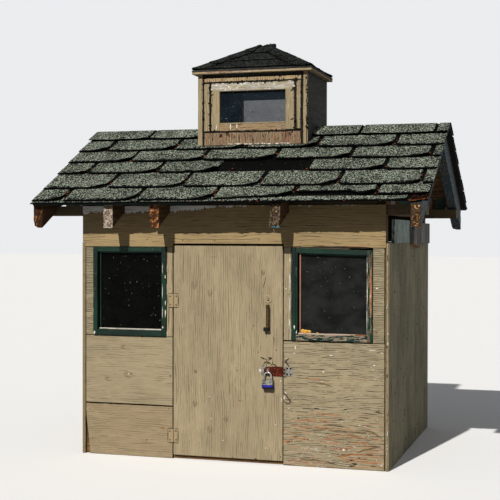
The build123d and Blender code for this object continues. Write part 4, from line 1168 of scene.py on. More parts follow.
def beam(x0, x1, seed, tail=True, back=False, rot=1.5, lean=0.0, gnaw=0.0, wear=1.0):
    """A rafter with its seat cut, worn along its edges and eaten away at its tail.

    Gives points, quads and whether each quad is on the end of the tail."""
    if tail:
        ys = grid([TAIL, FRAME_FRONT, RIDGE_FACE], 22)
        ys = np.append(ys, [TAIL + 1.2, TAIL + 5, TAIL + 11])
    else:
        ys = grid([FRAME_FRONT, RIDGE_FACE], 30)
    ys = np.unique(np.append(ys, FRAME_FRONT + 0.4))
    ts = np.array([0, 0.015, 0.14, 0.28, 0.42, 0.56, 0.7, 0.84, 0.985, 1.0])
    xs = np.array([0, 0.03, 0.2, 0.4, 0.6, 0.8, 0.97, 1.0])
    points, faces = lattice(ys, ts, xs)
    y, t, w = points[:, 0], points[:, 1], points[:, 2]
    x = x0 + (x1 - x0) * w
    z = rafter_top(y) - t * RAFTER_PLUMB
    z = np.where(y > FRAME_FRONT + 0.2, np.maximum(z, PLATE_TOP), z)
    out = np.stack([x, y, z], -1)
    side_in = np.where(w <= 0, 1.0, 0.0) - np.where(w >= 1, 1.0, 0.0)
    drop_in = np.where(t <= 0, -1.0, 0.0) + np.where(t >= 1, 1.0, 0.0)
    on_edge = ((side_in != 0) & (drop_in != 0)).astype(float)
    bite = np.maximum(0.8 + 0.7 * field(out, 12, seed), 0.2) * wear
    out[:, 0] += side_in * on_edge * bite
    out[:, 2] += drop_in * on_edge * bite
    if tail:
        near = ease((TAIL + 26 - y) / 26)
        end = (y <= TAIL).astype(float)
        rough_end = np.maximum(0, 0.6 + 0.9 * field(out, 7, seed + 1) + 0.8 * field(out, 16, seed + 2)) * rot
        out[:, 1] += end * rough_end
        out[:, 0] += side_in * near * np.maximum(0, field(out, 14, seed + 4)) * rot * 1.6
        out[:, 2] += (t >= 1) * near * np.maximum(0, 0.3 + field(out, 18, seed + 5)) * rot * 1.8
        corner = ease((t - 0.62) / 0.38) * ease((0.55 - w) / 0.55) * near
        out[:, 2] += corner * gnaw
        out[:, 0] += corner * gnaw * 0.5
        out[:, 0] += lean * ease((TAIL + 120 - y) / 120) * t
    if back:
        out[:, 1] *= -1
        faces = faces[:, ::-1]
    centre_y = out[faces].mean(axis=1)[:, 1] * (-1 if back else 1)
    a, b, c = out[faces[:, 0]], out[faces[:, 1]], out[faces[:, 2]]
    normal = np.cross(b - a, c - a)
    facing = np.abs(normal[:, 1]) > 0.75 * np.maximum(np.linalg.norm(normal, axis=1), 1e-9)
    return out, faces, facing & tail & (centre_y < TAIL + END_DEPTH)


end_orange = rotten_end("end_orange", (196, 132, 80), (128, 80, 48), (34, 20, 14), 1, dark_share=0.4)
end_dark = rotten_end("end_dark", (178, 116, 68), (92, 56, 34), (18, 12, 9), 7, dark_share=0.85)
end_pale = rotten_end("end_pale", (196, 178, 160), (158, 140, 122), (96, 80, 66), 13, 1.3, dark_share=0.0)
end_brown = rotten_end("end_brown", (132, 112, 90), (92, 76, 60), (34, 26, 20), 19, dark_share=0.2)
end_split = rotten_end("end_split", (206, 166, 118), (124, 84, 50), (26, 16, 11), 25, 0.8, dark_share=0.65)
end_blue = plain("end_blue", (54, 112, 128), (84, 140, 150), 120.0, 27)

rafters = Shape()
for line, (kind, rot, lean, gnaw) in zip(RAFTERS, ((2, 0.8, 0.0, 0.0), (3, 1.8, 0.0, 2.0), (4, 1.2, -6.0, 0.0))):
    x0, x1 = line - STUD / 2, line + STUD / 2
    points, faces, cut = beam(x0, x1, int(abs(line)), rot=rot, lean=lean, gnaw=gnaw)
    rafters.add(points, faces, np.where(cut, kind, 0))
    points, faces, cut = beam(x0, x1, int(abs(line)) + 5, back=True)
    rafters.add(points, faces, np.where(cut, 1, 0))
for start in (-FRAME_SIDE, FRAME_SIDE - STUD):
    for back in (False, True):
        points, faces, cut = beam(start, start + STUD, 60 + int(back), tail=False, back=back)
        rafters.add(points, faces)
for x, z, width, height in ((-444, 891.5, 37, 8), (218, 891.5, 35, 7)):
    spot(rafters, x, z, width, height, 3, 5, face=TAIL + 0.9, thick=0.3, rag=0.3)
spot(rafters, 221, 948, 12, 11, 9, 6, face=TAIL + 0.6, thick=0.6)
rafters.piece(
    "rafter_set", "root",
    [rafter_timber, end_brown, end_pale, end_orange, end_brown, end_blue, end_split], ["rafters"],
)

barges = Shape()
for side in (-1, 1):
    for back in (False, True):
        low = BARGE_RIGHT - STUD if side > 0 else BARGE_LEFT
        seed = 70 + side * 3 + int(back)
        rot = 3.4 if side > 0 and not back else 2.0
        gnaw = {(-1, False): 8.0, (1, False): 4.0}.get((side, back), 3.0)
        points, faces, cut = beam(low, low + STUD, seed, back=back, rot=rot, gnaw=gnaw, wear=1.6)
        end_kind = 3 if back else (2 if side > 0 else 1)
        inner = points[faces][:, :, 0].mean(axis=1) * side < abs(low + STUD / 2) - STUD / 2 + 1.5
        barges.add(points, faces, np.where(cut, end_kind, np.where(inner, 3 if back else 4, 0)))
barges.piece(
    "barge_set", "root", [barge_paint, end_dark, end_split, soffit_paint, rafter_timber],
    ["barge_rafters"],
)

# ---------------------------------------------------------------- main roof
WELL_LEFT, WELL_RIGHT = CUPOLA_X - CUPOLA_HALF, CUPOLA_X + CUPOLA_HALF


def roof_place(x, down, lift, back=False):
    """Point of a slope: down from the ridge, lifted square off the rafters."""
    y = -down * math.cos(PITCH) - lift * math.sin(PITCH)
    z = RIDGE - down * math.sin(PITCH) + lift * math.cos(PITCH)
    return np.stack([x, -y if back else y, z], -1)


CUPOLA_DOWN = -CUPOLA_FACE / math.cos(PITCH)
WELL_IN_LEFT, WELL_IN_RIGHT, WELL_IN_DOWN = -233.3, 207.3, 165.5


def clear_of_cupola(x, down):
    """False for cells that the cupola stands on."""
    return ~((x > WELL_LEFT + 1) & (x < WELL_RIGHT - 1) & (down < CUPOLA_DOWN - 2))


TAB_THICK, CAP_THICK = 3.4, 3.6


def tab_sheet(
    shape, x0, x1, upper, lower, back, seed, curl, low_corners=(0.2, 1.0), wave=1.6, ragged=1.6, slide=None
):
    """One tab of a course: worn edges, a butt that has lifted and corners that have curled,
    and a black strip along the top of its butt that is bare felt and painted shade.
    """
    stops = [x0, x1]
    stops += [v for v in (WELL_LEFT + 1, WELL_RIGHT - 1) if x0 + 4 < v < x1 - 4 and upper < CUPOLA_DOWN]
    xs = grid(sorted(stops), 6)
    head = upper - 14 if upper > 0 else 2
    down_stops = [head, lower]
    if head < CUPOLA_DOWN - 2 < lower and upper < CUPOLA_DOWN:
        down_stops.append(CUPOLA_DOWN - 2)
    downs = np.unique(np.append(grid(sorted(down_stops), 11), [lower - 7.5, lower - 3.5]))
    left_curl, right_curl = curl

    def lift_at(x, down):
        along = (down - upper) / EXPOSURE
        lift = DECK + 3.2 + 6.4 * np.clip(along, -0.12, 1.0)
        low = ease((down - (lower - 85)) / 85) ** 1.5 * ease((SHINGLE_EDGE - np.abs(x)) / 40)
        low_left = ease(1 - (x - x0) / 75) ** 1.4
        low_right = ease(1 - (x1 - x) / 90) ** 1.4
        spots_now = np.stack([x, down, np.full(len(x), seed * 3.1)], -1)
        drift = 0.5 + 0.5 * field(spots_now, 70, seed)
        lift = lift + low * (left_curl * low_left + right_curl * low_right + wave * 1.8 * drift)
        return lift + 0.35 * field(spots_now, 14, seed + 1)

    def outline(x, down):
        spots_now = np.stack([x, down, np.full(len(x), seed * 1.7)], -1)
        low = ease((down - (lower - 8)) / 8)
        jag = ragged * field(spots_now * ALONG_XZ, 22, seed + 2)
        jag = jag + 1.7 * field(spots_now * ALONG_XZ, 8, seed + 3)
        down_new = down + low * (jag - 1.0)
        at_left, at_right = ease(1 - (x - x0) / 6), ease(1 - (x1 - x) / 6)
        x_new = x + at_left * (1.2 * field(spots_now * ALONG_YZ, 16, seed + 4) + 0.8)
        x_new = x_new - at_right * (1.2 * field(spots_now * ALONG_YZ, 16, seed + 5) + 0.8)
        round_right = ease(1 - (x1 - x) / 30) * ease((down - (lower - 34)) / 34)
        round_left = ease(1 - (x - x0) / 16) * ease((down - (lower - 14)) / 14)
        down_new = down_new - round_right * low_corners[1] * 11 - round_left * low_corners[0] * 6
        if slide is not None:
            down_new = down_new + slide(x) * ease((down - upper) / (lower - upper))
        return x_new, down_new

    def surface(drop):
        def place(x, down):
            new_x, new_down = outline(x, down)
            lift = lift_at(x, down) - drop
            if drop:
                lift = np.maximum(lift, DECK + 0.3)
            placed = roof_place(new_x, new_down, lift, back)
            placed[:, 1] = np.clip(placed[:, 1], -EAVE_LIMIT, EAVE_LIMIT)
            return placed
        return place

    points, faces, kinds = plate(xs, downs, surface(0.0), surface(TAB_THICK), clear_of_cupola)
    if not back:
        faces = faces[:, ::-1]
    middle = points[faces].mean(axis=1)
    slid = slide(middle[:, 0]) if slide is not None else 0.0
    # the top face within a few mm of the butt shows the black felt: granules worn off, and painted shade that widens
    # the dark line under the course
    butt = (lower + slid - 9.0) * math.cos(PITCH) + 5.0
    bare_felt_and_shade = np.abs(middle[:, 1]) > butt - 4.0 * (field(middle, 7, seed + 6) < -0.2)
    shape.add(points, faces, np.where((kinds == 0) & ~bare_felt_and_shade, 0, 1))


def course_shift(course, x, back):
    """How far the courses near the eave have slid or been laid out of line."""
    if back or course < 5:
        return 0.0 * x
    if course == 5:
        return 21.5 - 6.5 * x / 700
    if course == 6:
        return np.interp(x, [-760, -60, 90, 450, 760], [26, 27, 6, -10, -14])
    return -9.0 * np.clip((x + 700) / 1260, 0, 1.2) ** 1.7


def slots(course):
    """Places of the slots between the tabs of a course."""
    first = ODD_SLOT if course % 2 else EVEN_SLOT
    places = [first + TAB * step for step in range(-3, 4)]
    return [place for place in places if abs(place) < SHINGLE_EDGE - 15]


def slope_of_tabs(name, back, replaced):
    """Every tab of one slope, the black felt under them, which is painted shade where it shows in the slots,
    and the strip along the eave.
    """
    rng = np.random.default_rng(5 if back else 4)
    shape = Shape()
    for course in range(2, FULL_COURSES + 1):
        upper, lower = EXPOSURE * (course - 1), EXPOSURE * course
        places = slots(course)
        shifts = rng.uniform(-5, 5, len(places))
        joints = [place + shift for place, shift in zip(places, shifts)]
        edges_now = [-SHINGLE_EDGE + rng.uniform(0, 3)] + joints + [SHINGLE_EDGE - rng.uniform(0, 3)]
        for number, (start, end) in enumerate(zip(edges_now, edges_now[1:])):
            gap = rng.uniform(6.0, 10.5, 2)
            x0 = start + (gap[0] if number else 0)
            x1 = end - (gap[1] if number < len(edges_now) - 2 else 0)
            right = rng.uniform(5, 12) if number < len(edges_now) - 2 else rng.uniform(0, 2)
            left = rng.uniform(0, 2.5)
            seed = course * 10 + number + (200 if back else 0)
            if not back and course == 4:
                if x0 > EVEN_SLOT - 10 and x1 < EVEN_SLOT + TAB + 10:
                    continue
                if x0 < EVEN_SLOT - 60 and x1 > EVEN_SLOT - 60:
                    x1, right = EVEN_SLOT - 55.0, 15.0
            if not back and course == 6 and number == len(edges_now) - 2:
                x1 -= 4
            short = 28.0 if not back and course == 6 and 200 < start < 400 else 0.0

            def slid(x):
                return course_shift(course, x, back) - short * ease((x1 - 40 - x) / 50)

            tab_sheet(shape, x0, x1, upper, lower, back, seed, (left, right), slide=slid)
    low = EXPOSURE * FULL_COURSES
    strip_ends = [-SHINGLE_EDGE + 1, -320, 150, 692] if not back else [-SHINGLE_EDGE + 1, -200, 330, SHINGLE_EDGE - 1]
    for number, (start, end) in enumerate(zip(strip_ends, strip_ends[1:])):
        tab_sheet(
            shape, start + 1, end - 1, low, low + STARTER, back, 300 + number, (0.5, 2.5), (0.0, 0.2), 1.0, 3.4,
            slide=lambda x: course_shift(7, x, back),
        )

    # the black layer under the tabs: bare underlayer where a tab is missing, painted shade where it shows in the
    # slots
    def felt_and_shade_surface(lift):
        def place(x, down):
            return roof_place(x, down, DECK + lift + 1.2 * np.mod(down, EXPOSURE) / EXPOSURE * (lift > 1), back)
        return place

    stops = [-SHINGLE_EDGE + 5, WELL_LEFT + 1, WELL_RIGHT - 1, SHINGLE_EDGE - 5]
    felt_and_shade_end = low + STARTER - 6 if back else 702.0
    down_stops = [0.5, CUPOLA_DOWN - 2] + [EXPOSURE * c for c in range(2, FULL_COURSES + 1)] + [felt_and_shade_end]
    xs, downs = grid(stops, 90), grid(down_stops, 40)
    points, faces, _ = plate(xs, downs, felt_and_shade_surface(2.0), felt_and_shade_surface(0.15), clear_of_cupola)
    shape.add(points, faces if back else faces[:, ::-1], 2)
    shape.piece(name, "root", [roof_granules, felt_and_shade, felt_and_shade], replaced, smooth=38)


def deck_front():
    """The front deck: its eave edge is ragged and follows the strip above it."""
    end = (3.0 - TAIL) / math.cos(PITCH)
    low = EXPOSURE * FULL_COURSES + STARTER

    def surface(lift):
        def place(x, down):
            spots_now = np.stack([x, np.full(len(x), 3.0), np.full(len(x), lift)], -1)
            strip = low + course_shift(7, x, False) - 9.0 - 13.0 * np.clip((x + 100) / 400, 0, 1)
            edge = np.minimum(end, strip) - 1.2 + 1.2 * field(spots_now, 15, 71)
            down_new = down + (edge - end) * ease((down - (end - 40)) / 40)
            return roof_place(x, np.minimum(down_new, end), lift)
        return place

    xs = grid([-SHINGLE_EDGE + 5.2, WELL_IN_LEFT, WELL_IN_RIGHT, SHINGLE_EDGE - 5.2], 14)
    downs = grid([0.4, WELL_IN_DOWN, end - 40, end], 20)

    def keep(x, down):
        return ~((x > WELL_IN_LEFT) & (x < WELL_IN_RIGHT) & (down < WELL_IN_DOWN))

    points, faces, kinds = plate(xs, downs, surface(DECK - 0.05), surface(0.1), keep)
    centre = points[faces].mean(axis=1)
    # the deck's cut edge right of x = -120 is near-black
    rim = (kinds == 2) & (centre[:, 0] > -120)
    shape = Shape()
    shape.add(points, faces[:, ::-1], np.where(rim, 1, 0))
    shape.piece("deck_front", "root", [soffit_paint, near_black], ["roof_deck_front"])


deck_front()
slope_of_tabs("tabs_front", False, ["shingles_front"])
slope_of_tabs("tabs_back", True, ["shingles_back"])


def ridge_caps():
    """Cap tabs folded over the ridge, parted where the photo shows."""
    rng = np.random.default_rng(9)
    shape = Shape()
    joints = [-SHINGLE_EDGE + 0.5, -490, WELL_LEFT - 1, WELL_RIGHT + 1, 419, 722, SHINGLE_EDGE - 0.5]
    spans = list(zip(joints, joints[1:]))
    del spans[2]  # the cupola stands there
    for number, (start, end) in enumerate(spans):
        x0 = start + (5 if number in (1, 3, 4) else 0)
        x1 = end - (6 if number in (0, 2, 3) else 0)
        seed = 400 + number
        lifts = rng.uniform(2, 6, 4)
        xs = grid([x0, x1], 12)
        downs = np.unique(np.concatenate([grid([-CAP_REACH, CAP_REACH], 12), [-4, 4]]))

        def surface(drop):
            def place(x, down):
                far = np.sqrt(down * down + 30.0)
                side = np.sign(down) + (down == 0)
                spots_now = np.stack([x, down, np.full(len(x), seed)], -1)
                low = ease((far - (CAP_REACH - 50)) / 50)
                curl = lifts[0] * ease(1 - (x1 - x) / 70) * low + lifts[1] * 0.4 * ease(1 - (x - x0) / 50) * low
                lift = DECK + 5.6 + 4.5 * far / EXPOSURE + 4.0 + curl + low * 1.5 * field(spots_now, 60, seed) - drop
                edge_low = ease((far - (CAP_REACH - 8)) / 8)
                far_new = far + edge_low * (1.5 * field(spots_now * ALONG_XZ, 18, seed + 1) - 1.0)
                x_new = x + ease(1 - (x - x0) / 5) * (1 + field(spots_now, 15, seed + 2))
                x_new = x_new - ease(1 - (x1 - x) / 5) * (1 + field(spots_now, 15, seed + 3))
                y = -side * (far_new * math.cos(PITCH) + lift * math.sin(PITCH)) * np.clip(np.abs(down) / 7.0, 0, 1)
                z = RIDGE - far_new * math.sin(PITCH) + lift * math.cos(PITCH)
                return np.stack([x_new, y, np.minimum(z, RIDGE + CAP_RISE)], -1)
            return place

        points, faces, kinds = plate(xs, downs, surface(0.0), surface(CAP_THICK))
        shape.add(points, faces[:, ::-1], np.where(kinds == 0, 0, 1))
    shape.piece("ridge_tabs", "root", [roof_granules, felt_and_shade], ["ridge_cap"], smooth=38)


ridge_caps()


def flake(shape, x, down, lift, size, seed, kind=0, flat=0.5):
    """A small ragged bit on the front slope, closed all round."""
    centre = roof_place(np.array([float(x)]), np.array([float(down)]), DECK + lift)[0]
    r = np.random.default_rng(seed)
    sides = 6
    turn = np.arange(sides) * 2 * math.pi / sides + r.uniform(0, 1)
    radius = size / 2 * r.uniform(0.5, 1.1, sides)
    stretch_now = r.uniform(0.5, 1.4)
    tilt = r.uniform(-0.5, 0.5)
    ring = np.stack([np.cos(turn) * radius * stretch_now, np.sin(turn) * radius, np.cos(turn) * radius * tilt], -1)
    points = np.vstack([ring, [[0, 0, size * flat * 0.5]], [[0, 0, -size * flat * 0.5]]]) + centre
    faces = []
    for i in range(sides):
        j = (i + 1) % sides
        faces += [[i, j, sides], [j, i, sides + 1]]
    shape.add(points, faces, kind)


# litter in the slots, along the butts and on the torn felt
scatter = Shape()
rng = np.random.default_rng(21)
count = 0
for course in range(2, FULL_COURSES + 1):
    for place_x in slots(course):
        for _ in range(5):
            count += 1
            down = EXPOSURE * (course - 1) + rng.uniform(30, 112)
            x = place_x + rng.uniform(-5, 6)
            flake(scatter, x, down, 4.5, rng.uniform(5, 12), count, int(rng.uniform() < 0.35))
    for _ in range(16):
        count += 1
        down = EXPOSURE * course + rng.uniform(1, 5)
        x = rng.uniform(-760, 700)
        flake(scatter, x, down, 4.6, rng.uniform(2.5, 5.5), count, int(rng.uniform() < 0.4))
for _ in range(26):
    count += 1
    x, down = rng.uniform(-80, 270), rng.uniform(345, 448)
    flake(scatter, x, down, 3.5, rng.uniform(1.5, 3.0), count, 2)
for x in (-330, -110, 15, 120, 148, 330, 470, 600):
    count += 1
    flake(scatter, x, 714, 7.0, 12.0, count, 0, 0.3)
scatter.piece("roof_litter", "root", [litter, end_dark, roof_granules])

# splintered deck at the right end of the front eave
splinters = Shape()
rng = np.random.default_rng(31)
for number in range(46):
    x, down = rng.uniform(699, 763), rng.uniform(646, 696)
    lift = rng.uniform(1.0, 2.5)
    flake(splinters, x, down, lift, rng.uniform(6, 13), number, 0 if rng.uniform() < 0.55 else 2, 0.3)
for number in range(20):
    t = number / 19
    down = 704 - 16 * t * t + rng.uniform(-2, 2)
    flake(splinters, 698 + 66 * t, down, 1.5, rng.uniform(5, 9), number + 60, 1, 0.35)
splinters.piece("eave_splinters", "root", [end_dark, chip_orange, rust])

# ---------------------------------------------------------------- boards of the gable and the side vents
vents = Shape()
for side in (-1, 1):
    low, high = sorted((side * FRAME_SIDE, side * SIDE))
    box = (low, -388, SIDE_SHEET_TOP), (high, -21, SIDE_SHEET_TOP + 90)
    vents.board(*box, 10, 1.3, 81 + side, edge=1.5, chips=4)
vents.piece("vent_board_set", "root", [pale_green], ["vent_boards"])

offcuts = Shape()
for side in (-1, 1):
    for number, (y0, y1, z0, z1, fall) in enumerate(((-31, 134, 826, 907, 16.8), (142, 418, 826, 913, 0))):
        low, high = sorted((side * SIDE, side * (SIDE + 19)))

        def drop(points):
            points = points.copy()
            points[:, 2] -= fall * (points[:, 1] - y0) / (y1 - y0)
            return points

        points, faces = block((low, y0, z0), (high, y1, z1), 9, 1.6, 91 + number + side, edge=1.6, chips=4, bend=drop)
        middle = points[faces].mean(axis=1)
        line = z0 + 4 - fall * (middle[:, 1] - y0) / (y1 - y0)
        offcuts.add(points, faces, np.where((middle[:, 2] < line) & (number == 0), 1, 0))
offcuts.piece("offcut_set", "root", [grey_timber, orange_wood], ["vent_blocks"])

blocks = Shape()
bays = [(-560.5, -463.0), (-425.0, -275.0), (-237.0, 199.0), (237.0, 559.0)]
for sign in (-1, 1):
    y0, y1 = sorted((sign * FRAME_FRONT, sign * (FRAME_FRONT + 19)))
    for number, (x0, x1) in enumerate(bays):
        blocks.board((x0 + 0.5, y0, PLATE_TOP), (x1 - 0.5, y1, PLATE_TOP + 58), 20, 1.0, 101 + number)
    for side in (-1, 1):
        for number, (x0, x1, high, kind) in enumerate(((611, 629, 54, 1), (632, 645, 44, 0), (648, 688, 50, 2))):
            a, b = sorted((side * x0, side * x1))
            blocks.board((a, y0, PLATE_TOP), (b, y1, PLATE_TOP + high), 9, 1.2, 111 + number, kind)
blocks.piece("eave_block_set", "root", [plate_paint, pink_paint, teal_paint], ["eave_blocks"])

# ---------------------------------------------------------------- cupola
def roof_cut(points):
    """Boards of the cupola end on the roof that they stand on."""
    points = points.copy()
    roof = RIDGE + DECK / math.cos(PITCH) + SHINGLES_HIGH - np.abs(points[:, 1]) * SLOPE
    points[:, 2] = np.maximum(points[:, 2], roof)
    return points


def trim_boards(sign):
    """Corner boards, casings, head board, frieze and lower panel of one face;
    the frieze takes the dark side paint as painted shade under the eave.
    """
    y0, y1 = sorted((sign * CUPOLA_FACE, sign * CUPOLA_SHEET))
    c = CUPOLA_X
    boards = [
        ((c - 233, c - 213), (1150, 1521), 0, 2.6), ((c + 214, c + 233), (1150, 1521), 0, 3.4),
        ((c - 206, c - 183), (1288, 1483), 0, 2.4), ((c + 187, c + 204), (1291, 1486), 0, 4.5),
        # the frieze (kind 3) takes the cupola's dark side paint: painted shade under the eave board
        ((c - 206, c + 206), (1489.5, 1505), 1, 1.6), ((c - 210, c + 208), (1511, 1520.5), 3, 0.6),
        ((c - 205, c + 205), (1150, 1281), 2, 3.0),
    ]
    for number, (x, z, kind, wear) in enumerate(boards):
        seed = 121 + number + (20 if sign > 0 else 0)
        box = (x[0], y0, z[0]), (x[1], y1, z[1])
        trim.board(*box, 8, wear * 0.55, seed, kind, edge=1.2, chips=3.5, bend=roof_cut)


trim = Shape()
trim_boards(1)
trim_boards(-1)
trim.piece(
    "cupola_boards", "root", [cupola_tan, cupola_head, cupola_panel, cupola_side], ["cupola_trim"]
)

sash = Shape()
for sign in (1, -1):
    c, half, stile, rail = CUPOLA_X, 176.0, 36.0, 34.0
    y0, y1 = sorted((sign * SASH_FACE, sign * (SASH_FACE + SASH_DEPTH)))
    z0, z1 = 1287.0, 1485.0
    members = [
        ((c - half, y0, z0 + 2), (c - half + stile, y1, z1 - rail), 0),
        ((c + half - stile, y0, z0 + 2), (c + half, y1, z1 - rail), 0),
        ((c - half, y0, z1 - rail), (c + half, y1, z1), 1),
        ((c - half + stile, y0, z0), (c + half - stile, y1, z0 + rail - 5), 2),
        ((c - half + stile, y0 + (0 if sign > 0 else 0.8), z0 + rail - 5), (c + half - stile, y1 - 4, z0 + rail), 0),
        ((c - half + stile, y0 + 1.0, z1 - rail - 1), (c + half - stile, y1 - 4, z1 - rail + 5), 0),
    ]
    for number, (low, high, kind) in enumerate(members):
        sash.board(low, high, 8, 1.1, 151 + number + (10 if sign > 0 else 0), kind, edge=1.2)
sash.piece("cupola_sash_set", "root", [cupola_tan, cupola_peeled, cupola_brown], ["cupola_sashes"])

eave = Shape()
eave_low = (CUPOLA_X - EAVE_HALF_X, -EAVE_HALF_Y, CUPOLA_TOP)
eave_high = (CUPOLA_X + EAVE_HALF_X, EAVE_HALF_Y, EAVE_TOP)
eave.board(eave_low, eave_high, 11, 1.4, 171, edge=1.6, chips=3.5)
eave.piece("cupola_eave", "root", [cupola_fascia], ["cupola_eave_board"])

HIP_BUTT, HIP_HEAD = CUPOLA_DECK + 6.6, 3.4 - 6.6  # lift of a course at its butt, and the change to its head


def hip_face(shape, side, t0, t1, seed):
    """One course on a face of the hip roof: side is front, back, left or right."""
    across = grid([-1.0, 1.0], 0.045)
    ups = grid([t0, t1], 0.05)

    def surface(drop):
        def place(u, t):
            spots_now = np.stack([u * 230, t * 200, np.full(len(u), seed * 2.3)], -1)
            low = ease((t0 + 0.05 - t) / 0.05)
            t_new = t + low * 0.008 * field(spots_now * ALONG_XZ, 16, seed)
            share = (t - t0) / (t1 - t0)
            lift = HIP_BUTT + HIP_HEAD * share + low * (1 + field(spots_now, 40, seed + 1)) - drop
            t_new = np.clip(t_new, 0.0, 1.0)
            half_x = EAVE_HALF_X + t_new * (CUPOLA_RIDGE_HALF - EAVE_HALF_X)
            half_y = EAVE_HALF_Y * (1 - t_new)
            z = EAVE_TOP + CUPOLA_RISE * t_new + lift
            out = {
                "front": (u * half_x, -half_y), "back": (-u * half_x, half_y),
                "right": (half_x, u * half_y), "left": (-half_x, -u * half_y),
            }[side]
            return np.stack([CUPOLA_X + out[0], out[1], z], -1)
        return place

    points, faces, kinds = plate(across, ups, surface(0.0), surface(3.2))
    shape.add(points, faces, np.where(kinds == 0, 0, 1))


hips = Shape()
for number, side in enumerate(("front", "back", "left", "right")):
    for course, (t0, t1) in enumerate(((0.0, 0.36), (0.31, 0.70), (0.66, 1.0))):
        hip_face(hips, side, t0, t1, 500 + number * 5 + course)
hips.piece("cupola_tabs", "root", [dark_granules, felt_and_shade], ["cupola_shingles"], smooth=38)

def hip_point(sx, sy, t):
    """Point on a hip line, t from the eave corner up to the ridge."""
    x = CUPOLA_X + sx * (EAVE_HALF_X + t * (CUPOLA_RIDGE_HALF - EAVE_HALF_X))
    y = sy * EAVE_HALF_Y * (1 - t)
    return np.stack([x, y, EAVE_TOP + CUPOLA_DECK + 7.0 + CUPOLA_RISE * t], -1)


caps = Shape()
rng = np.random.default_rng(41)
for sx in (-1, 1):
    for sy in (-1, 1):
        start, end = hip_point(sx, sy, np.array([0.0]))[0], hip_point(sx, sy, np.array([1.0]))[0]
        along = (end - start) / np.linalg.norm(end - start)
        run = EAVE_HALF_X - CUPOLA_RIDGE_HALF
        normal_x = np.array([sx * CUPOLA_RISE, 0, run]) / math.hypot(CUPOLA_RISE, run)
        normal_y = np.array([0, sy * CUPOLA_RISE, EAVE_HALF_Y]) / math.hypot(CUPOLA_RISE, EAVE_HALF_Y)
        wing_x = np.cross(normal_x, along)
        wing_y = np.cross(normal_y, along)
        if wing_x[1] * sy > 0:
            wing_x = -wing_x
        if wing_y[0] * sx > 0:
            wing_y = -wing_y
        pieces_now = [(-0.005, 0.30), (0.25, 0.58), (0.52, 0.84), (0.78, 1.0)]
        for number, (t0, t1) in enumerate(pieces_now):
            seed = 600 + (sx + 1) * 20 + (sy + 1) * 7 + number
            half = rng.uniform(38, 47) if (sx, sy) != (1, -1) else rng.uniform(46, 56)
            bump = rng.uniform(1.5, 5.0)
            ups = grid([t0, t1], 0.025)
            across = grid([-1.0, 1.0], 0.11)

            def surface(drop):
                def place(w, t):
                    base = hip_point(sx, sy, np.clip(t, 0.0, 1.0))
                    spots_now = np.stack([w * 45, t * 260, np.full(len(w), seed)], -1)
                    near = 1 - ease(t / 0.16)
                    reach_now = half * np.abs(w) * (1 - 0.55 * near) * np.clip((1.06 - t) * 4, 0.35, 1)
                    rag = ease((np.abs(w) - 0.8) / 0.2) * 3.0 * field(spots_now, 12, seed + 1)
                    shift = np.where((w < 0)[:, None], wing_x[None, :], wing_y[None, :]) * (reach_now + rag)[:, None]
                    low = ease((t0 + 0.12 - t) / 0.12)
                    lift = 3.2 + bump * low * (0.5 + 0.5 * np.abs(w))
                    lift = lift + 1.6 * field(spots_now, 22, seed + 2) * ease((np.abs(w) - 0.4) / 0.6) - drop
                    out = base + shift
                    out[:, 2] += lift
                    return out
                return place

            points, faces, kinds = plate(across, ups, surface(0.0), surface(3.0))
            if sx * sy > 0:
                faces = faces[:, ::-1]
            low = [CUPOLA_X - EAVE_HALF_X, -EAVE_HALF_Y, EAVE_TOP + 1]
            high = [CUPOLA_X + EAVE_HALF_X, EAVE_HALF_Y, CAP_LIMIT]
            caps.add(np.clip(points, low, high), faces, np.where(kinds == 0, 0, 1))
points, faces = block((14, -14, 1640), (38, 14, 1664.5), 4, 2.6, 181, edge=2.5, chips=1.0)
points[:, 2] += 3 * field(points, 9, 4)
points[:, 2] = np.minimum(points[:, 2], CAP_LIMIT)
caps.add(points, faces)
caps.piece("cupola_caps", "root", [dark_granules, felt_and_shade], ["cupola_hip_caps"], smooth=38)

cupola_marks = Shape()
for number, (x, z, width, height, kind) in enumerate((
    (-160, 1306, 5, 26, WHITE), (-100, 1304, 7, 24, WHITE), (-72, 1306, 6, 20, WHITE), (-142, 1268, 15, 22, DARK),
)):
    spot(
        cupola_marks, x, z, width, height, number + 300, kind, face=SASH_FACE if z > 1290 else CUPOLA_FACE, thick=0.5,
        rag=0.5,
    )
rng = np.random.default_rng(61)
for x, z, width, height in (
    (-194, 1445, 16, 3), (-180, 1438, 14, 3), (-184, 1452, 12, 3), (160, 1447, 18, 3), (166, 1456, 12, 3),
    (-190, 1300, 12, 3), (160, 1330, 16, 3), (170, 1296, 12, 10),
):
    spot(cupola_marks, x, z, width, height, int(x * 7 + z), DARK, face=SASH_FACE, thick=3.2, rag=0.5, tilt=20.0)
for number in range(26):
    spot(
        cupola_marks, rng.uniform(-190, 175), rng.uniform(1455, 1484), rng.uniform(5, 16), rng.uniform(3, 8),
        number + 700, WHITE,
        face=SASH_FACE, thick=0.5, rag=0.6,
    )
for x, z, width, height in (
    (-110, 1271, 20, 7), (-116, 1277, 7, 12), (136, 1281, 14, 5), (163, 1278, 7, 13), (150, 1272, 5, 9),
    (-104, 1264, 6, 10),
):
    spot(cupola_marks, x, z, width, height, int(z), DARK, face=CUPOLA_FACE, thick=0.4, rag=0.5)
for number in range(46):
    x, z, length = rng.uniform(-180, 170), rng.uniform(1240, 1262), rng.uniform(10, 22)
    line = [(x + rng.uniform(-0.6, 0.6), z + length * t) for t in np.linspace(0, 1, 5)]
    stroke(cupola_marks, line, rng.uniform(1.8, 3.2), (DARK, ORANGE, DARK, SOFT)[number % 4], face=CUPOLA_FACE)
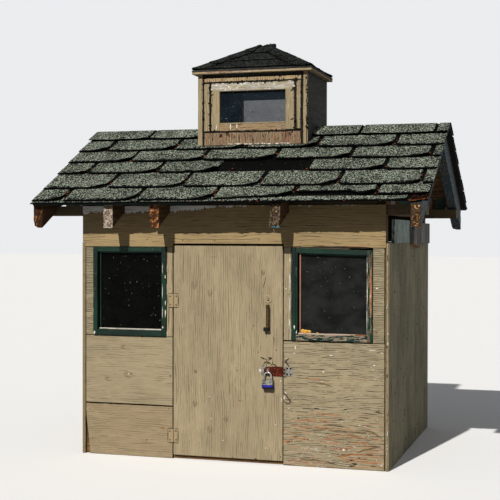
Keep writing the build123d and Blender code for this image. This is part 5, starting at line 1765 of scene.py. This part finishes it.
for number in range(16):
    spot(
        cupola_marks, rng.uniform(-150, 165), rng.uniform(1230, 1236), rng.uniform(8, 24), rng.uniform(3, 6),
        number + 860, WHITE, face=CUPOLA_FACE, thick=0.5, rag=0.6,
    )
cupola_marks.piece("cupola_marks", "root", MARKS)

cupola_side_marks = Shape()
for number in range(56):
    local = Shape()
    spot(
        local, rng.uniform(-160, 160) - MARKS_FROM, rng.uniform(1275, 1505), rng.uniform(18, 46),
        rng.uniform(2.4, 5.0), number + 800,
        (DARK, SOFT, DARK)[number % 3], face=-(CUPOLA_X + CUPOLA_HALF), thick=0.4, rag=0.5,
        tilt=rng.uniform(-35, -10),
    )
    turned(cupola_side_marks, local)
cupola_side_marks.piece("cupola_side_marks", "root", MARKS[:SOFT] + [side_fleck])

# near-black strokes and spots along the gaps between the cupola's trim boards
gaps = Shape()
for start, end, width in (
    ((-216.5, 1175), (-217.0, 1508), 7.5), ((-187.0, 1284), (-187.5, 1492), 7.0), ((174.5, 1284), (174.0, 1492), 8.5),
    ((201.5, 1172), (201.0, 1512), 9.5), ((-212, 1284.5), (200, 1284), 6.5), ((-202, 1487.5), (196, 1488), 4.5),
    ((-236, 1508.5), (212, 1508), 4.5), ((-240, 1176), (-200, 1172), 4.0), ((223, 1190), (223.5, 1512), 4.0),
):
    start, end = np.array(start), np.array(end)
    count_now = max(4, int(np.linalg.norm(end - start) / 11))
    line = start + (end - start) * np.linspace(0, 1, count_now)[:, None] + rng.uniform(-1.7, 1.7, (count_now, 2))
    stroke(gaps, line, width, 0, face=CUPOLA_FACE, thick=0.4)
    for number in range(count_now * 2 // 3):
        at = start + (end - start) * rng.uniform(0.03, 0.97) + rng.uniform(-3, 3, 2)
        spot(
            gaps, at[0], at[1], rng.uniform(6, 12), rng.uniform(6, 13), number + int(width * 100), 0,
            face=CUPOLA_FACE, thick=0.45, rag=0.6,
        )
gaps.piece("cupola_gaps", "root", [near_black])

crack = Shape()
stroke(
    crack, [(-76, 1430), (-70, 1410), (-60, 1396), (-52, 1378), (-48, 1360), (-44, 1342), (-42, 1330)], 2.2, 0,
    face=-161.0, thick=0.3,
)
crack.piece("pane_crack", "root", [dark_mark])

# ---------------------------------------------------------------- hardware
def dome(shape, x, z, radius, height, slot_angle, sides=14, face=FRONT - 1.5):
    """A screw head with a slot across it."""
    turn = np.arange(sides) * 2 * math.pi / sides
    rings = [(1.0, 0.0), (1.0, 0.25), (0.86, 0.7), (0.55, 0.95)]
    points = []
    for r, h in rings:
        ring = [x + radius * r * np.cos(turn), np.full(sides, face - height * h), z + radius * r * np.sin(turn)]
        points.append(np.stack(ring, -1))
    points = np.vstack(points + [np.array([[x, face - height, z]])])
    ca, sa = math.cos(math.radians(slot_angle)), math.sin(math.radians(slot_angle))
    off = np.abs((points[:, 0] - x) * sa - (points[:, 2] - z) * ca)
    groove = (off < radius * 0.2) & (points[:, 1] < face - height * 0.5)
    points[groove, 1] += height * 0.45
    faces = tube(4, sides)
    tip = 4 * sides
    faces += [[3 * sides + i, tip, 3 * sides + (i + 1) % sides] for i in range(sides)]
    faces.append(list(range(sides)))
    shape.add(points, faces)


for body, places in (
    ("root", ((-240.0, 593), (-240.5, 625), (-240.5, 104), (-240.5, 71))),
    ("door", ((-215.0, 626), (-215.5, 592), (-216.0, 106), (-215.0, 72))),
):
    screws = Shape()
    for number, (x, z) in enumerate(places):
        dome(screws, x, z, 3.0, 1.3, 25 + 40 * number)
    screws.piece("hinge_screws_" + body, body, [screw_rust])

plate_screws = Shape()
for number, (x, z) in enumerate(((227.5, 362.5), (240.0, 362.5), (227.5, 341.5), (240.0, 341))):
    dome(plate_screws, x, z, 3.9, 1.4, 15 + 50 * number)
plate_screws.piece("hasp_screws", "root", [screw_dark])

grip = Shape()
HANDLE_X, HANDLE_TOP = 152.0, 622.0
turn = np.arange(28) * 2 * math.pi / 28
rings = [(16.0, 0.0), (15.6, 1.6), (12.5, 2.4), (10.5, 1.4), (6.0, 1.8), (5.4, 5.5), (3.2, 7.6)]
points = [
    np.stack([HANDLE_X + r * np.cos(turn), np.full(28, FRONT - h), HANDLE_TOP + r * np.sin(turn)], -1)
    for r, h in rings
]
faces = tube(7, 28) + [list(range(28)), list(reversed(range(6 * 28, 7 * 28)))]
grip.add(np.vstack(points), faces, [1] * (4 * 28) + [2] * (2 * 28) + [1, 2])
# kind 3 makes the thin strip left of the bar and the foot below it black: painted shadow of the handle
for low, high, kind, seed in (
    ((152.0, FRONT - 21, 514), (158.0, FRONT - 15, 600), 0, 191),
    ((149.0, FRONT - 19, 516), (152.1, FRONT - 14, 598), 3, 193),
    ((138.0, FRONT - 16, 501), (159.5, FRONT, 515.5), 3, 195),
    ((149.0, FRONT - 20, 594), (157.5, FRONT, 601), 0, 197),
):
    grip.board(low, high, 5.0, 0.7, seed, kind, edge=0.8, chips=0.5)
grip.piece(
    "pull_handle", "door", [handle_metal, hinge_paint, zinc, black_metal_and_shade], ["door_handle"], smooth=35
)

lock = Shape()
LOCK_TOP, LOCK_LOW, LOCK_Y = 320.75, 284.75, -519.0
BAND_LOW, BAND_HIGH, PLATES_LOW, PLATE_STEP = 291.4, 301.0, 303.0, 2.55


def rounded(x, y, half_x, half_y, radius, count=5):
    """Outline of a plate with round corners."""
    outline = []
    for cx, cy, start in ((1, 1, 0), (-1, 1, 90), (-1, -1, 180), (1, -1, 270)):
        corner_x, corner_y = x + cx * (half_x - radius), y + cy * (half_y - radius)
        for i in range(count):
            a = math.radians(start + 90 * i / (count - 1))
            outline.append((corner_x + radius * math.cos(a), corner_y + radius * math.sin(a)))
    return np.array(outline)


def slice_of_lock(z0, z1, grow, kind, bevel=0.35):
    """One plate of the lock's body."""
    rings = []
    for z, inset in ((z0, bevel), (z0 + bevel, 0.0), (z1 - bevel, 0.0), (z1, bevel)):
        outline = rounded(STAPLE_X, LOCK_Y, 22.0 + grow - inset, 10.0 + grow * 0.5 - inset, 4.5)
        rings.append(np.column_stack([outline, np.full(len(outline), z)]))
    count_now = len(rings[0])
    faces = [[i for i in reversed(range(count_now))], [3 * count_now + i for i in range(count_now)]]
    for ring_number in range(3):
        a, b = ring_number * count_now, (ring_number + 1) * count_now
        faces += [[a + i, a + (i + 1) % count_now, b + (i + 1) % count_now, b + i] for i in range(count_now)]
    lock.add(np.vstack(rings), faces, kind)


slice_of_lock(LOCK_LOW, BAND_LOW, -1.6, 2, 0.8)
slice_of_lock(BAND_LOW, BAND_HIGH, -0.2, 1, 1.2)
slice_of_lock(BAND_HIGH, PLATES_LOW, -1.0, 3)
level = PLATES_LOW
while level < LOCK_TOP - 1.0:
    slice_of_lock(level, min(level + PLATE_STEP, LOCK_TOP - 0.2), -1.0, 0)
    level += PLATE_STEP
lock_steel = steel("lock_plates", (164, 163, 152), (74, 71, 63), 141, metal=0.6, rust=0.01)
lock.piece(
    "lock_body", "door", [lock_steel, blue_band, black_metal_and_shade, yellow_band], ["padlock_body"], smooth=30
)

# ---------------------------------------------------------------- finishes of the CAD nodes that stay
for finish, nodes in (
    (timber, ("cross_sills", "window_rails", "ridge_boards")),
    (rafter_timber, ("side_sills", "side_plates")),
    (upright_timber, ("corner_posts", "door_posts")),
    (plate_paint, ("top_plates",)),
    (gable_ply, ("gable_panels",)),
    (soffit_ply, ("roof_deck_back",)),
    (window_glass, ("window_panes",)),
    (cupola_glass, ("cupola_panes",)),
    (cupola_side, ("cupola_side_walls", "cupola_roof_deck")),
    # the cupola's front and back walls are near-black; they show only in the gaps between the trim boards
    (near_black, ("cupola_front_wall", "cupola_back_wall")),
    (hinge_paint, ("hinge_wall_leaves", "hinge_door_leaves")),
    (zinc, ("hasp_plate", "hasp_staple")),
    (rust, ("hasp_strap",)),
    (lock_rust, ("padlock_shackle",)),
):
    for node in nodes:
        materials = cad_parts[node].data.materials
        materials.clear()
        materials.append(finish)

# ---------------------------------------------------------------- stage, light and camera
scene = bpy.context.scene
FLOOR_HALF, FLOOR_Z = 40, -0.001
floor_mesh = bpy.data.meshes.new("floor")
floor_mesh.from_pydata(
    [(x * FLOOR_HALF, y * FLOOR_HALF, FLOOR_Z) for x, y in ((-1, -1), (1, -1), (1, 1), (-1, 1))], [], [(0, 1, 2, 3)]
)
floor = bpy.data.objects.new("floor", floor_mesh)
scene.collection.objects.link(floor)
ground = Paint("floor")
path = ground.nodes.new("ShaderNodeLightPath")
seen = ground.math(
    "MAXIMUM", path.outputs["Is Camera Ray"],
    ground.math("MAXIMUM", path.outputs["Is Glossy Ray"], path.outputs["Is Transmission Ray"]),
)
tone = ground.mix(seen, (0.20, 0.20, 0.20, 1.0), (0.95, 0.95, 0.95, 1.0))
floor_mesh.materials.append(ground.done(tone, 0.95))

world = bpy.data.worlds.new("studio")
scene.world = world
world.use_nodes = True
tree = world.node_tree
tree.nodes.clear()
out = tree.nodes.new("ShaderNodeOutputWorld")
mixer = tree.nodes.new("ShaderNodeMixShader")
fill, shown = tree.nodes.new("ShaderNodeBackground"), tree.nodes.new("ShaderNodeBackground")
fill.inputs[0].default_value, fill.inputs[1].default_value = (0.95, 0.97, 1.0, 1.0), 0.18
shown.inputs[0].default_value, shown.inputs[1].default_value = (0.97, 0.98, 1.0, 1.0), 0.86
ray = tree.nodes.new("ShaderNodeLightPath")
either, any_ray = tree.nodes.new("ShaderNodeMath"), tree.nodes.new("ShaderNodeMath")
either.operation = any_ray.operation = "MAXIMUM"
for start, end in (
    (ray.outputs["Is Glossy Ray"], either.inputs[0]), (ray.outputs["Is Transmission Ray"], either.inputs[1]),
    (ray.outputs["Is Camera Ray"], any_ray.inputs[0]), (either.outputs[0], any_ray.inputs[1]),
    (any_ray.outputs[0], mixer.inputs[0]), (fill.outputs[0], mixer.inputs[1]),
    (shown.outputs[0], mixer.inputs[2]), (mixer.outputs[0], out.inputs[0]),
):
    tree.links.new(start, end)

key = bpy.data.lights.new("key", "SUN")
key.energy, key.angle, key.color = 3.75, math.radians(0.9), (1.0, 0.975, 0.93)
key_lamp = bpy.data.objects.new("key", key)
key_lamp.rotation_euler = Vector((0.19, 1.0, -0.84)).to_track_quat("-Z", "Y").to_euler()
scene.collection.objects.link(key_lamp)

camera = bpy.data.cameras.new("camera")
camera.lens, camera.sensor_width = 81.99, 36.0
CAMERA_AT = (1.322, -4.6193, 0.8653)
CAMERA_TURNS = ((16.8, "Z"), (90 - 0.8, "X"), (0.1, "Z"))
camera_object = bpy.data.objects.new("camera", camera)
heading, tilt, roll = (Matrix.Rotation(math.radians(angle), 4, axis) for angle, axis in CAMERA_TURNS)
camera_object.matrix_world = Matrix.Translation(CAMERA_AT) @ (heading @ tilt @ roll)
scene.collection.objects.link(camera_object)
scene.camera = camera_object
scene.view_settings.view_transform = "Standard"
